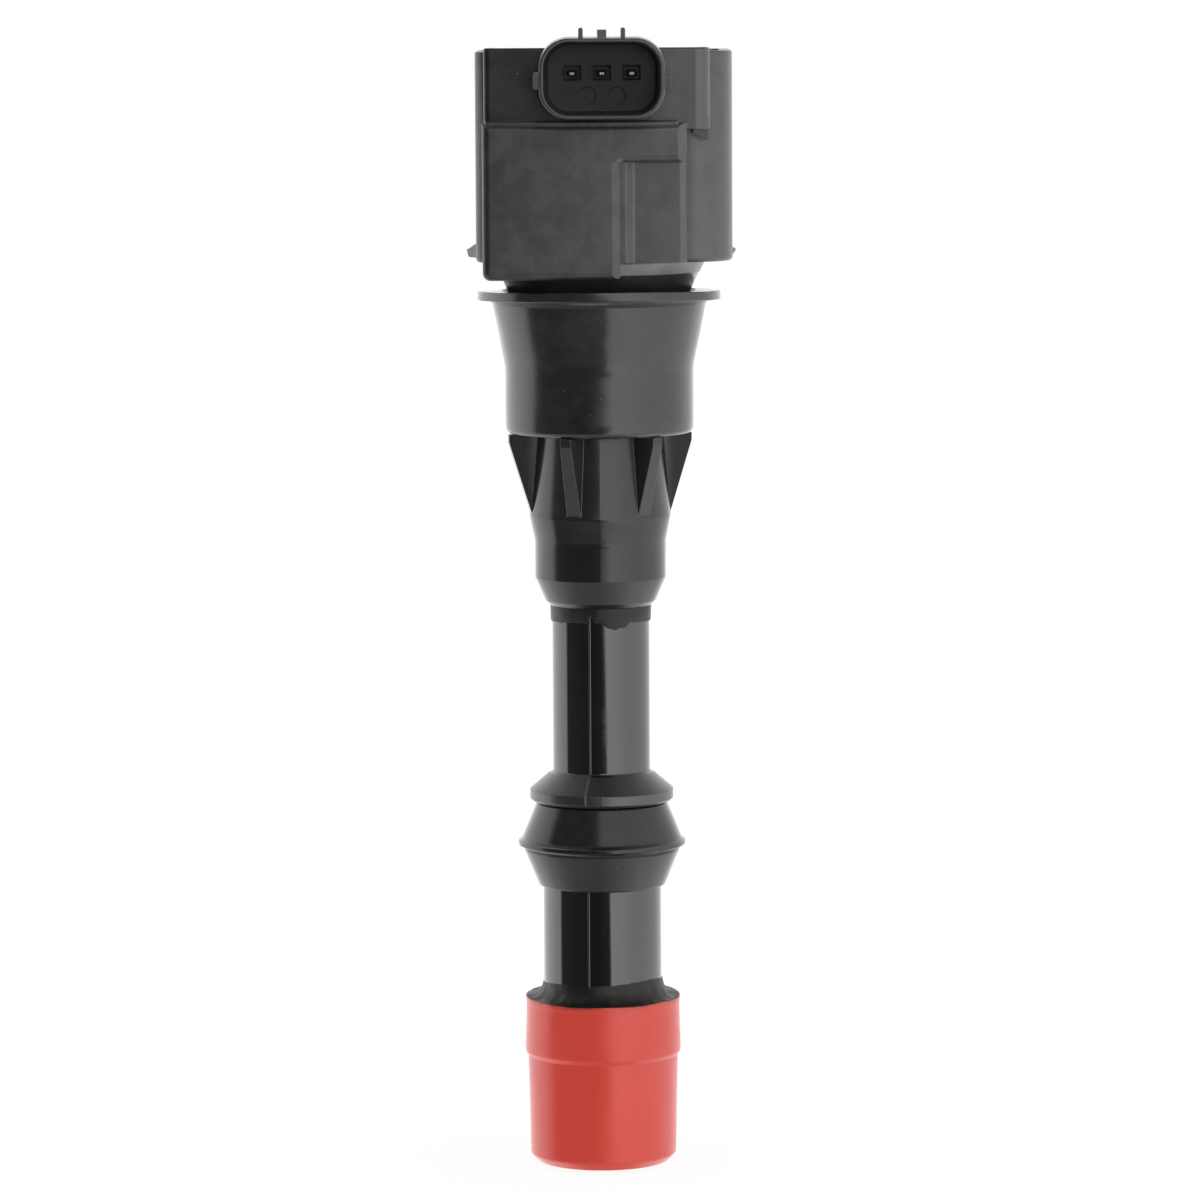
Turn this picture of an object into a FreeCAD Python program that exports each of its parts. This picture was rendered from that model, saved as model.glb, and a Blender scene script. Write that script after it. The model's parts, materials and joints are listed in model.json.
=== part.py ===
"""Plug-top ignition coil with a three-way socket, a long tower and a silicone plug boot.

Units are millimetres. The origin is the centre of the boot's mouth, where the spark plug enters. +Z runs
up the tower to the coil head, the electrical socket faces -Y and the bolt ear is at +Y.
Each function builds one separate piece, and the last section writes one STEP file per piece.
"""

import FreeCAD, Part
import math
import os
from FreeCAD import Vector

# ---------------------------------------------------------------- driving dimensions
Z_AXIS = Vector(0, 0, 1)
CENTRE = Vector(0, 0, 0)

# Heights up the tower, from the boot's mouth
BOOT_GRIP_Z = 15.0        # floor of the socket that grips the tube
BOOT_STEP_Z = 18.6        # where the boot's collar begins
BOOT_RECESS_Z = 27.3      # floor of the recess for the sealant bead
BOOT_TOP_Z = 28.0
BOOT_SEALANT_Z = 31.0     # the bead climbs the tube to here
SEAL_LOW_Z = 46.65        # middle seal
SEAL_HIGH_Z = 60.7
TUBE_FLANGE_Z = 60.9      # underside of the tube's upper flange
COLLAR_Z = 93.7           # end of the case's collar round the tube
JOINT_SEALANT_Z = 91.5    # lower edge of the sealant squeezed out of the collar
RIB_FOOT_Z = 109.2
CUP_LOW_Z = 122.4         # well seal
CUP_FLANGE_Z = 144.9
CUP_TOP_Z = 146.1
HEAD_Z = 151.2            # underside of the coil head
FRONT_BLOCK_Z = 148.5
BAND_Z = 174.0            # top of the front block
BAND_FLOOR_Z = 173.0      # underside of the band behind the socket
HEAD_TOP_Z = 185.6
BAND_TOP_Z = 186.2
RESIN_Z = 184.5

# Radii
PLUG_BORE_R = 5.1         # grips a spark plug's insulator
PLUG_ROOM_R = 5.6         # free room round the insulator, inside the tube
SPRING_BORE_R = 3.4
TUBE_LOW_R = 9.9
TUBE_HIGH_R = 8.15
SEAL_SEAT_R = 9.0
TUBE_FLANGE_R = 11.95
BOOT_RECESS_R = 12.65
CUP_R = 15.6
CUP_FLANGE_R = 20.15
TOWER_R = 13.2            # under the well seal
WALL = 1.8                # moulded walls of the case

# Coil head: left, right, front and back faces
HEAD_X = (-20.1, 22.0)
HEAD_Y = (-14.0, 17.5)
HEAD_CORNERS = [3.5, 7.5, 2.5, 2.5]   # front left, front right, back right, back left
BLOCK_X = (-18.9, 3.75)   # front block, over the igniter pocket
STEP_X = 14.4             # right end of the block's upper part
STEP_Z = 167.6
BLOCK_Y = -18.8
BAND_X = (-18.6, 18.2)
BAND_Y = -17.5
SHELF_Y = -16.8           # second level, right of the front block

# Bolt ear
EAR_Y = 27.0
EAR_Z = (151.0, 158.0)
EAR_R = 7.6
BUSH_R = 5.2
BOLT_BORE_R = 3.25        # clears an M6 bolt
BUSH_Z = (150.9, 158.1)

# Electrical socket
SOCKET_X = 0.65
SOCKET_Z = 181.4
SOCKET_SIZE = (20.2, 12.9)
SOCKET_MOUTH_Y = -31.0
SOCKET_FLOOR_Y = -20.5
PIN_PITCH = 4.8
PIN_Z = 182.2
PIN_SIZE = (1.5, 0.8)
PIN_TIP_Y = -28.0
POCKET_SIZE = (2.8, 2.35)
POCKET_DEPTH = 2.4

# Tower ribs and the mould's parting line, as angles from the front, positive to the right
RIB_COUNT = 6
RIB_ANGLE = -21.7
RIB_ROOT = 2.9            # width at the root
RIB_CREST = 1.9
PARTING_ANGLE = -13.3

# Contact spring
SPRING_R = 2.55           # mean radius of the coils
SPRING_WIRE_R = 0.35
SPRING_Z = (34.6, 123.4)
SPRING_PITCH = 2.6
CONTACT_FACE_Z = 29.5

# Windings: axis parallel to X
WIND_Y, WIND_Z = -0.5, 168.0
WIND_X = (-13.8, 15.2)
CORE_SIDE = 8.0
LAMINATION = 0.5
LAMINATION_GAP = 0.03


# ---------------------------------------------------------------- outline helpers
def outline(points, radii, place):
    """A closed wire through 2D points, each corner rounded by its own radius. place() maps (u, v) to 3D."""
    count = len(points)
    entries, middles, exits = [], [], []
    for i, point in enumerate(points):
        here = Vector(point[0], point[1], 0)
        before = Vector(*points[i - 1], 0) - here
        after = Vector(*points[(i + 1) % count], 0) - here
        before.normalize()
        after.normalize()
        radius = radii[i] if isinstance(radii, (list, tuple)) else radii
        half = before.getAngle(after) / 2
        if radius <= 0 or half > math.pi / 2 - 1e-4:
            entries.append(here)
            middles.append(None)
            exits.append(here)
            continue
        reach = radius / math.tan(half)
        inward = (before + after).normalize()
        entries.append(here + before * reach)
        exits.append(here + after * reach)
        middles.append(here + inward * (radius / math.sin(half) - radius))
    edges = []
    for i in range(count):
        if middles[i] is not None:
            arc = [place(p.x, p.y) for p in (entries[i], middles[i], exits[i])]
            edges.append(Part.Arc(*arc).toShape())
        start, end = exits[i], entries[(i + 1) % count]
        if (end - start).Length > 1e-6:
            edges.append(Part.makeLine(place(start.x, start.y), place(end.x, end.y)))
    return Part.Wire(edges)


def revolved(points, radii=0.0, angle=360.0, start=0.0):
    """A solid turned about Z from (radius, height) points, starting at an angle from the front."""
    face = Part.Face(outline(points, radii, lambda r, z: Vector(r, 0, z)))
    solid = face.revolve(CENTRE, Z_AXIS, angle)
    solid.rotate(CENTRE, Z_AXIS, start - 90.0)
    return solid


def upright(points, radii, z0, z1):
    """A prism with a rounded plan outline, standing from z0 to z1."""
    face = Part.Face(outline(points, radii, lambda x, y: Vector(x, y, z0)))
    return face.extrude(Vector(0, 0, z1 - z0))


def facing(points, radii, y0, y1):
    """A prism with a rounded front outline in X and Z, running from y0 back to y1."""
    face = Part.Face(outline(points, radii, lambda x, z: Vector(x, y0, z)))
    return face.extrude(Vector(0, y1 - y0, 0))


def rectangle(x, y):
    """Four corners from two ranges, anticlockwise from the low corner."""
    return [(x[0], y[0]), (x[1], y[0]), (x[1], y[1]), (x[0], y[1])]


def block(x, y, z):
    """A plain box from three ranges."""
    return Part.makeBox(x[1] - x[0], y[1] - y[0], z[1] - z[0], Vector(x[0], y[0], z[0]))


def centred(middle, size):
    """A range of a given size about a middle."""
    return (middle - size / 2, middle + size / 2)


def cylinder_z(radius, z0, z1, x=0.0, y=0.0):
    return Part.makeCylinder(radius, z1 - z0, Vector(x, y, z0))


def cylinder_x(radius, x0, x1, y=WIND_Y, z=WIND_Z):
    return Part.makeCylinder(radius, x1 - x0, Vector(x0, y, z), Vector(1, 0, 0))


def join(pieces):
    """One solid from overlapping solids, with shared faces merged."""
    return pieces[0].multiFuse(pieces[1:]).removeSplitter()


def round_edges(solid, radius, wanted):
    """Rounds the edges for which wanted(edge) is true."""
    return solid.makeFillet(radius, [e for e in solid.Edges if wanted(e)])


def at_height(z):
    """Chooses edges that lie level at one height."""
    return lambda e: abs(e.BoundBox.ZMin - z) < 1e-3 and abs(e.BoundBox.ZMax - z) < 1e-3


def at_depth(y):
    """Chooses edges that lie in one plane facing the front or back."""
    return lambda e: abs(e.BoundBox.YMin - y) < 1e-3 and abs(e.BoundBox.YMax - y) < 1e-3


def at_angle(solid, degrees):
    """A copy of a solid built at the front, turned about the tower to an angle from the front."""
    turned = solid.copy()
    turned.rotate(CENTRE, Z_AXIS, degrees)
    return turned


# ---------------------------------------------------------------- coil case
def head_outside():
    """The head's outer blocks, each with its own rounded edges."""
    body = upright(rectangle(HEAD_X, HEAD_Y), HEAD_CORNERS, HEAD_Z, HEAD_TOP_Z)
    body = round_edges(body, 0.7, at_height(HEAD_Z))
    body = round_edges(body, 0.3, at_height(HEAD_TOP_Z))
    band = upright(rectangle(BAND_X, (BAND_Y, -12.0)), [1.0, 2.4, 0, 0], BAND_FLOOR_Z, BAND_TOP_Z)
    band = round_edges(band, 0.4, at_height(BAND_TOP_Z))
    left, right = BLOCK_X
    stepped = [(left, FRONT_BLOCK_Z), (right, FRONT_BLOCK_Z), (right, STEP_Z), (STEP_X, STEP_Z),
               (STEP_X, BAND_Z), (left, BAND_Z)]
    front = facing(stepped, [1.25, 1.25, 0.6, 1.25, 0, 0], BLOCK_Y, -12.0)
    front = round_edges(front, 1.2, at_depth(BLOCK_Y))
    front = front.cut([edge_chamfer(right, FRONT_BLOCK_Z, STEP_Z), edge_chamfer(STEP_X, STEP_Z, BAND_Z)])
    return [body, band, front, block_lip(), shelf(), bracket()]


def edge_chamfer(x, z0, z1):
    """Cutter for a flat bevel along one of the front block's right-hand edges."""
    across, deep, past = 1.45, 1.25, 1.0
    plan = [(x - across, BLOCK_Y), (x - across, BLOCK_Y - past), (x + past, BLOCK_Y - past),
            (x + past, BLOCK_Y + deep), (x, BLOCK_Y + deep)]
    return upright(plan, 0, z0, z1)


def block_lip():
    """Rounded lip along the top of the front block."""
    front = BLOCK_Y - 0.15
    lip = block((BLOCK_X[0] + 0.6, STEP_X - 1.4), (front, BAND_Y + 0.5), (BAND_Z - 0.45, BAND_Z + 0.4))
    return round_edges(lip, 0.35, at_depth(front))


def shelf():
    """Second level right of the front block, with a slanted face where the two meet."""
    right, step = BLOCK_X[1], 1.1
    plan = [(right - 1, SHELF_Y - step), (right + 0.75, SHELF_Y - step), (right + 1.9, SHELF_Y),
            (STEP_X, SHELF_Y), (STEP_X, -12.0), (right - 1, -12.0)]
    return upright(plan, [0, 0.4, 0.8, 1.2, 0, 0], HEAD_Z + 0.1, STEP_Z + 1.0)


def bracket():
    """Small step under the band's right end, with a slanted underside."""
    left, right = 15.4, 18.0
    side = [(left, 172.2), (right, 171.2), (right, BAND_Z + 1), (left, BAND_Z + 1)]
    return facing(side, 0, -16.2, -12.0)


def bolt_ear():
    """Ear behind the head, with two gussets, and low wings that run along the head's back edge."""
    arm = upright(rectangle((-EAR_R, EAR_R), (HEAD_Y[1] - 1.0, EAR_Y)), 0, *EAR_Z)
    ear = arm.fuse(cylinder_z(EAR_R, *EAR_Z, y=EAR_Y)).removeSplitter()
    ear = round_edges(ear, 0.6, at_height(EAR_Z[1]))
    foot, wall_y = EAR_Z[1] - 0.5, HEAD_Y[1] - 0.5
    gusset = [(wall_y, foot), (wall_y + 7.5, foot), (wall_y, foot + 11.5)]
    pieces = [ear]
    for x in (-EAR_R + 0.4, EAR_R - 2.0):
        face = Part.Face(outline(gusset, 0, lambda y, z: Vector(x, y, z)))
        pieces.append(face.extrude(Vector(1.6, 0, 0)))
    return pieces


def base_flange():
    """Low flange along the head's back edge. Its ends are swept back, and a small gusset stands on each."""
    left, right = HEAD_X[0] - 2.1, HEAD_X[1] + 0.95
    low, level = EAR_Z[0], EAR_Z[0] + 1.25
    inset, sweep, back = 0.2, 2.4, 16.0

    def plan(front):
        tip_left = front + (HEAD_X[0] + inset - left) * sweep
        tip_right = front + (right - HEAD_X[1] + inset) * sweep
        return [(HEAD_X[0] + inset, front), (HEAD_X[1] - inset, front), (right, tip_right), (right, back),
                (left, back), (left, tip_left)]

    outline_xz = [(left + 0.35, low), (right - 0.8, low), (right, level - 0.2), (right, level), (left, level)]
    plate = facing(outline_xz, [0.2, 0.2, 0, 0, 0], 0, back + 1).common(upright(plan(9.0), 0, low, level))
    peaks = [(left + 0.05, level - 0.1), (right - 0.05, level - 0.1), (HEAD_X[1] - inset, level + 0.75),
             (HEAD_X[0] + inset, level + 1.5)]
    gussets = facing(peaks, 0, 0, back + 1).common(upright(plan(9.8), 0, low, level + 2))
    return [plate, gussets]


def tower_outside():
    """Neck, tower and ribs, down to the thin collar round the extension tube."""
    profile = [(0, COLLAR_Z), (8.4, COLLAR_Z), (9.2, 94.5), (10.9, 98.4), (10.9, 104.4), (11.75, 108.7),
               (10.6, CUP_LOW_Z - 0.1), (TOWER_R, CUP_LOW_Z - 0.1), (TOWER_R, 142.2), (17.8, HEAD_Z + 0.1),
               (17.8, HEAD_Z + 1.5), (0, HEAD_Z + 1.5)]
    rounding = [0, 0, 0.5, 0.25, 4.0, 1.0, 0, 0.4, 1.5, 0, 0, 0]
    pieces = [revolved(profile, rounding)]
    top = CUP_LOW_Z - 0.1
    rib = [(9.0, RIB_FOOT_Z), (11.65, RIB_FOOT_Z), (15.3, 121.0), (15.3, top), (9.0, top)]
    face = Part.Face(outline(rib, 0, lambda r, z: Vector(-RIB_ROOT / 2, -r, z)))
    taper = [(-RIB_ROOT / 2, -9.0), (-RIB_CREST / 2, -15.3), (RIB_CREST / 2, -15.3), (RIB_ROOT / 2, -9.0)]
    blade = face.extrude(Vector(RIB_ROOT, 0, 0)).common(upright(taper, 0, RIB_FOOT_Z, top))
    for i in range(RIB_COUNT):
        pieces.append(at_angle(blade, RIB_ANGLE + i * 360.0 / RIB_COUNT))
    return pieces


def head_cavity():
    """Room inside the head: the winding chamber, the igniter pocket and the band behind the socket."""
    top = BAND_TOP_Z + 1.0
    chamber_x = (HEAD_X[0] + WALL, HEAD_X[1] - WALL)
    chamber_y = (HEAD_Y[0] + WALL, HEAD_Y[1] - WALL)
    corners = [radius - WALL for radius in HEAD_CORNERS]
    chamber = upright(rectangle(chamber_x, chamber_y), corners, HEAD_Z + WALL, top)
    pocket_x = (BLOCK_X[0] + WALL, BLOCK_X[1] - WALL)
    pocket = block(pocket_x, (BLOCK_Y + WALL, chamber_y[0] + 0.5), (FRONT_BLOCK_Z + WALL, BAND_Z - 1.5))
    behind_y = (BAND_Y + WALL, chamber_y[0] + 0.5)
    throat = block(pocket_x, behind_y, (BAND_Z - 2.0, BAND_Z + 2.0))
    behind = block((BAND_X[0] + WALL, BAND_X[1] - WALL), behind_y, (BAND_FLOOR_Z + WALL, top))
    return [chamber, pocket, throat, behind]


def tower_cavity():
    """Potted bore above the web."""
    return cylinder_z(9.0, 126.0, HEAD_Z + WALL + 0.5)


def socket_window(y0, y1):
    """The window in the case that the socket's base plugs into."""
    return facing(rectangle(centred(SOCKET_X, 15.8), centred(SOCKET_Z - 1.2, 7.6)), 1.5, y0, y1)


def coil_case():
    """The moulded case: head, neck, tower and bolt ear in one piece."""
    case = join(head_outside() + bolt_ear() + base_flange() + tower_outside())
    cuts = head_cavity() + [tower_cavity(), socket_window(BAND_Y - 1, BAND_Y + WALL + 1)]
    cuts.append(cylinder_z(SPRING_BORE_R, 117.0, 127.0))
    cuts.append(cylinder_z(TUBE_HIGH_R, COLLAR_Z - 1, 118.0))
    cuts.append(cylinder_z(BUSH_R, EAR_Z[0] - 1, EAR_Z[1] + 1, y=EAR_Y))
    return case.cut(cuts)


# ---------------------------------------------------------------- tower pieces
TUBE_FOOT_Z = BOOT_GRIP_Z + 0.1
GROOVE_Z = SEAL_LOW_Z + 1.2   # lower end of the middle seal's seat
CONE_FOOT_Z = TUBE_FLANGE_Z + 1.95
CONE_TOP_Z = TUBE_FLANGE_Z + 5.2
TUBE_TOP_Z = 118.0
SPRING_BORE_Z = 29.0      # mouth of the spring's bore, with a lead-in below it
BEAD_R = 10.5             # snap bead between the tube and the boot
BEAD_Z = (19.6, 20.4)
RIDGE_R = 0.2             # parting ridge, a thin half-round line
RIDGE_SINK = 0.08         # depth of its centre under the surface
FIT = 0.02                # gap between pieces that touch


def extension_tube():
    """Moulded tube that takes the high voltage down the plug well, with its mould's two parting ridges."""
    below = [(TUBE_LOW_R, TUBE_FOOT_Z), (TUBE_LOW_R, BEAD_Z[0] - 0.6), (BEAD_R, BEAD_Z[0]),
             (BEAD_R, BEAD_Z[1]), (TUBE_LOW_R, BEAD_Z[1] + 1.6), (TUBE_LOW_R, GROOVE_Z)]
    above = [(SEAL_SEAT_R, GROOVE_Z), (SEAL_SEAT_R, TUBE_FLANGE_Z), (TUBE_FLANGE_R - 0.45, TUBE_FLANGE_Z),
             (TUBE_FLANGE_R, TUBE_FLANGE_Z + 0.45), (TUBE_FLANGE_R, CONE_FOOT_Z), (TUBE_HIGH_R, CONE_TOP_Z),
             (TUBE_HIGH_R, TUBE_TOP_Z)]
    bore = [(SPRING_BORE_R, TUBE_TOP_Z), (SPRING_BORE_R, SPRING_BORE_Z), (PLUG_ROOM_R, BOOT_RECESS_Z),
            (PLUG_ROOM_R, TUBE_FOOT_Z)]
    rounding = [0.4, 0, 0.3, 0.3, 0, 0] + [0, 0, 0.15, 0.15, 0.2, 0.3, 0] + [0] * len(bore)
    tube = revolved(below + above + bore, rounding)
    for turn in (0.0, 180.0):
        tube = tube.fuse(parting_ridge(PARTING_ANGLE + turn))
    return tube


def parting_ridge(angle):
    """Thin raised line where the mould's halves met, on both tubes and over the flange between them."""
    low_r, high_r, flange_r = TUBE_LOW_R - RIDGE_SINK, TUBE_HIGH_R - RIDGE_SINK, TUBE_FLANGE_R - RIDGE_SINK
    paths = [[(low_r, BOOT_TOP_Z + 0.4), (low_r, SEAL_LOW_Z - 0.1)],
             [(flange_r, TUBE_FLANGE_Z + 0.5), (flange_r, CONE_FOOT_Z), (high_r, CONE_TOP_Z),
              (high_r, COLLAR_Z - 0.2)]]
    ridge = []
    for path in paths:
        for (r0, z0), (r1, z1) in zip(path, path[1:]):
            start, end = Vector(0, -r0, z0), Vector(0, -r1, z1)
            ridge.append(Part.makeCylinder(RIDGE_R, (end - start).Length, start, end - start))
            ridge.append(Part.makeSphere(RIDGE_R, end))
    return [at_angle(piece, angle) for piece in ridge]


def joint_sealant():
    """Thin ring of sealant squeezed out between the case's collar and the tube."""
    inner, low, high = TUBE_HIGH_R + FIT, JOINT_SEALANT_Z, COLLAR_Z - FIT
    profile = [(inner, low), (inner + 0.14, low + 0.1), (inner + 0.22, high), (inner, high)]
    return revolved(profile, 0).cut(parting_ridge(PARTING_ANGLE) + parting_ridge(PARTING_ANGLE + 180.0))


def boot_sealant():
    """Bead of black sealant that fills the boot's recess and climbs a little way up the tube."""
    inner, outer, floor = TUBE_LOW_R + FIT, BOOT_RECESS_R - FIT, BOOT_RECESS_Z + FIT
    profile = [(inner, floor), (outer, floor), (outer, BOOT_TOP_Z - 0.05), (11.4, BOOT_TOP_Z + 0.25),
               (inner + 0.25, BOOT_TOP_Z + 1.3), (inner + 0.12, BOOT_SEALANT_Z), (inner, BOOT_SEALANT_Z)]
    bead = revolved(profile, [0, 0, 0.1, 1.5, 0.8, 0, 0])
    return bead.cut(parting_ridge(PARTING_ANGLE) + parting_ridge(PARTING_ANGLE + 180.0))


def plug_boot():
    """Silicone boot: grips the plug's insulator below and the tube's end above."""
    profile = [(PLUG_BORE_R, 0), (10.9, 0), (12.2, 1.3), (12.5, BOOT_STEP_Z - 0.7), (12.95, BOOT_STEP_Z),
               (13.0, BOOT_STEP_Z + 0.8), (12.8, 26.6), (12.95, BOOT_TOP_Z), (BOOT_RECESS_R, BOOT_TOP_Z),
               (BOOT_RECESS_R, BOOT_RECESS_Z), (TUBE_LOW_R, BOOT_RECESS_Z), (TUBE_LOW_R, BEAD_Z[1] + 1.6),
               (BEAD_R, BEAD_Z[1]), (BEAD_R, BEAD_Z[0]), (TUBE_LOW_R, BEAD_Z[0] - 0.6),
               (TUBE_LOW_R, BOOT_GRIP_Z), (PLUG_BORE_R, BOOT_GRIP_Z)]
    rounding = [0, 0.7, 0.8, 0.3, 0.3, 0.3, 1.0, 0.12, 0.08, 0, 0, 0, 0.3, 0.3, 0, 0, 0.4]
    return revolved(profile, rounding)


def middle_seal():
    """Double-cone rubber seal with a thin lip, seated in the tube's groove."""
    seat = (GROOVE_Z + 0.1, TUBE_LOW_R + FIT)
    profile = [(SEAL_SEAT_R, seat[0]), (seat[1], seat[0]), (seat[1], SEAL_LOW_Z), (10.5, SEAL_LOW_Z),
               (12.95, 52.6), (13.1, 53.3), (13.95, 53.6), (13.95, 54.2), (13.3, 54.7), (10.85, SEAL_HIGH_Z),
               (SEAL_SEAT_R, SEAL_HIGH_Z)]
    return revolved(profile, [0, 0, 0.1, 0.5, 0.2, 0.2, 0.1, 0.1, 0.5, 0.4, 0])


def well_seal():
    """Rubber cup that closes the plug well, with a flared mouth and a thin flange."""
    wall, seat = 1.9, TOWER_R + FIT
    outside = [(CUP_R - 0.1, CUP_LOW_Z), (CUP_R, 124.4), (CUP_R, 133.4), (17.7, 143.9),
               (18.1, CUP_FLANGE_Z - 0.3), (CUP_FLANGE_R, CUP_FLANGE_Z - 0.3), (CUP_FLANGE_R, CUP_TOP_Z)]
    inside = [(16.2, CUP_TOP_Z), (15.85, 143.9), (CUP_R - wall, 133.8), (seat, 132.0), (seat, CUP_LOW_Z)]
    profile = outside + inside
    return revolved(profile, [1.0, 0, 12.0, 0.4, 0.2, 0.15, 0.15, 0.4, 1.0, 1.0, 1.0, 0.3])


# ---------------------------------------------------------------- electrical socket
def socket_outline(width, height, corner, y):
    """Rounded-rectangle wire in the plane at y."""
    return outline(rectangle(centred(SOCKET_X, width), centred(SOCKET_Z, height)), corner,
                   lambda u, v: Vector(u, y, v))


def pin_places():
    """Power, ground and signal pins, from left to right."""
    return [SOCKET_X - PIN_PITCH, SOCKET_X, SOCKET_X + PIN_PITCH]


def connector_socket():
    """Moulded socket insert: a shroud with side guides and lock ribs, and a base in the case's window."""
    width, height = SOCKET_SIZE
    mouth, floor, top = SOCKET_MOUTH_Y, SOCKET_FLOOR_Y, SOCKET_Z + height / 2
    outside = Part.makeLoft([socket_outline(width + 0.4, height + 0.3, 4.9, BAND_Y),
                             socket_outline(width, height, 4.8, mouth)], True)
    outside = round_edges(outside, 0.3, at_depth(mouth))
    hollow = Part.makeLoft([socket_outline(18.9, 11.9, 4.3, mouth - 0.01),
                            socket_outline(18.4, 11.5, 4.1, mouth + 0.8),
                            socket_outline(17.7, 11.0, 3.8, mouth + 4.0),
                            socket_outline(17.4, 10.8, 3.6, floor)], True, True)
    pieces = [outside, side_guides(), socket_window(BAND_Y, BAND_Y + WALL), lock_ramp(top)]
    for x in (-3.4, 3.4):
        section = rectangle(centred(SOCKET_X + x, 0.72), (top - 0.6, top + 1.65))
        pieces.append(facing(section, [0, 0, 0.3, 0.3], mouth + 1.0, BAND_Y - 0.5))
    cuts = [hollow]
    for x in pin_places():
        pocket_x, pocket_z = centred(x, POCKET_SIZE[0]), centred(PIN_Z, POCKET_SIZE[1])
        cuts.append(block(pocket_x, (floor - 1, floor + POCKET_DEPTH), pocket_z))
        cuts.append(block(centred(x, PIN_SIZE[0]), (floor, BAND_Y + WALL + 1), centred(PIN_Z, PIN_SIZE[1])))
    for x in (-2.4, 2.4):
        centre = Vector(SOCKET_X + x, floor + 0.12, SOCKET_Z - 2.9)
        cuts.append(Part.makeCylinder(1.4, 1, centre, Vector(0, -1, 0)))
    return join(pieces).cut(cuts)


def side_guides():
    """Rails along both sides of the shroud."""
    left, right = centred(SOCKET_X, SOCKET_SIZE[0] + 2.0)
    front = SOCKET_MOUTH_Y + 0.3
    plan = [(left, front), (right, front), (right + 0.1, BAND_Y), (left - 0.1, BAND_Y)]
    rails = upright(plan, 0, *centred(SOCKET_Z - 0.35, 2.65))
    return round_edges(rails, 0.35, lambda e: e.BoundBox.YLength > 5 and e.BoundBox.ZLength < 0.1)


def lock_ramp(top):
    """Ramp on the shroud's top that the harness plug's lock clips over."""
    front, crest = SOCKET_MOUTH_Y + 0.9, top + 1.35
    side = [(front, top - 0.4), (front + 3.5, crest), (front + 5.1, crest), (front + 5.4, top - 0.4)]
    width = 1.5
    face = Part.Face(outline(side, 0.15, lambda y, z: Vector(SOCKET_X - width / 2, y, z)))
    return face.extrude(Vector(width, 0, 0))


def terminal(x, foot_z):
    """Blade with a tapered tip, bent down behind the socket's base to meet the igniter's leads."""
    width, thick = PIN_SIZE
    back = BAND_Y + WALL + 0.9
    low, high, taper = PIN_Z - thick / 2, PIN_Z + thick / 2, PIN_TIP_Y + 1.2
    side = [(PIN_TIP_Y, PIN_Z - 0.2), (taper, low), (back - thick, low), (back - thick, foot_z),
            (back, foot_z), (back, high), (taper, high), (PIN_TIP_Y, PIN_Z + 0.2)]
    face = Part.Face(outline(side, [0, 0, 0.15, 0, 0, 0.5, 0, 0], lambda y, z: Vector(x - width / 2, y, z)))
    blade = face.extrude(Vector(width, 0, 0))
    left, right = centred(x, width)
    point = [(x - 0.35, PIN_TIP_Y), (x + 0.35, PIN_TIP_Y), (right, taper), (right, back + 1),
             (left, back + 1), (left, taper)]
    return blade.common(upright(point, 0, foot_z - 1, PIN_Z + 2))


# ---------------------------------------------------------------- parts inside the head
IGNITER_X = (-16.0, 0.0)
IGNITER_TOP_Z = 168.5
LEAD_Z = 174.0


def igniter_module():
    """Moulded driver package, with a chamfered front edge."""
    body = block(IGNITER_X, (-16.4, -13.6), (153.0, IGNITER_TOP_Z))
    return round_edges(body, 0.4, at_depth(-16.4))


def igniter_heat_spreader():
    """Aluminium plate behind the driver package, with a notch at each side."""
    plate = block(IGNITER_X, (-13.55, -12.75), (151.4, IGNITER_TOP_Z + 0.8))
    notches = [Part.makeCylinder(1.0, 3.0, Vector(x, -14.5, 152.8), Vector(0, 1, 0)) for x in IGNITER_X]
    return plate.cut(notches)


def igniter_leads():
    """Five flat legs from the driver package up to the terminals and the primary winding."""
    legs = []
    for i in range(5):
        x = IGNITER_X[0] + 2.0 + 3.0 * i
        legs.append(block(centred(x, 0.9), (-15.25, -14.75), (IGNITER_TOP_Z, LEAD_Z)))
    return Part.makeCompound(legs)


def laminations(points, radii, z0, z1):
    """A stack of thin plates with the same plan outline."""
    plates = []
    step = (z1 - z0) / round((z1 - z0) / LAMINATION)
    for i in range(round((z1 - z0) / step)):
        plates.append(upright(points, radii, z0 + i * step, z0 + (i + 1) * step - LAMINATION_GAP))
    return Part.makeCompound(plates)


CORE_Z = centred(WIND_Z, CORE_SIDE)
MAGNET = 1.2
ARM = 3.5


def centre_core():
    """Laminated bar through the primary bobbin."""
    x = (WIND_X[0] - 0.1, WIND_X[1] - MAGNET)
    return laminations(rectangle(x, centred(WIND_Y, CORE_SIDE)), 0, *CORE_Z)


def outer_core():
    """Laminated C that closes the magnetic circuit behind the windings."""
    left, right = WIND_X[0] - 0.15, WIND_X[1] + 0.05
    front, inner, back = WIND_Y - CORE_SIDE / 2, 11.3, 15.3
    plan = [(left - ARM, front), (left, front), (left, inner), (right, inner), (right, front),
            (right + ARM, front), (right + ARM, back), (left - ARM, back)]
    return laminations(plan, [0, 0, 0, 0, 0, 0, 2.0, 2.0], *CORE_Z)


def core_magnet():
    """Bias magnet between the centre core and one arm of the outer core."""
    x = (WIND_X[1] - MAGNET + 0.02, WIND_X[1] + 0.03)
    return block(x, centred(WIND_Y, CORE_SIDE), CORE_Z)


def primary_bobbin():
    flange = 1.0
    body = cylinder_x(6.6, *WIND_X)
    ends = [cylinder_x(8.4, WIND_X[0], WIND_X[0] + flange), cylinder_x(8.4, WIND_X[1] - flange, WIND_X[1])]
    room = CORE_SIDE + 0.2
    hole = block((WIND_X[0] - 1, WIND_X[1] + 1), centred(WIND_Y, room), centred(WIND_Z, room))
    return join([body] + ends).cut(hole)


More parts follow.
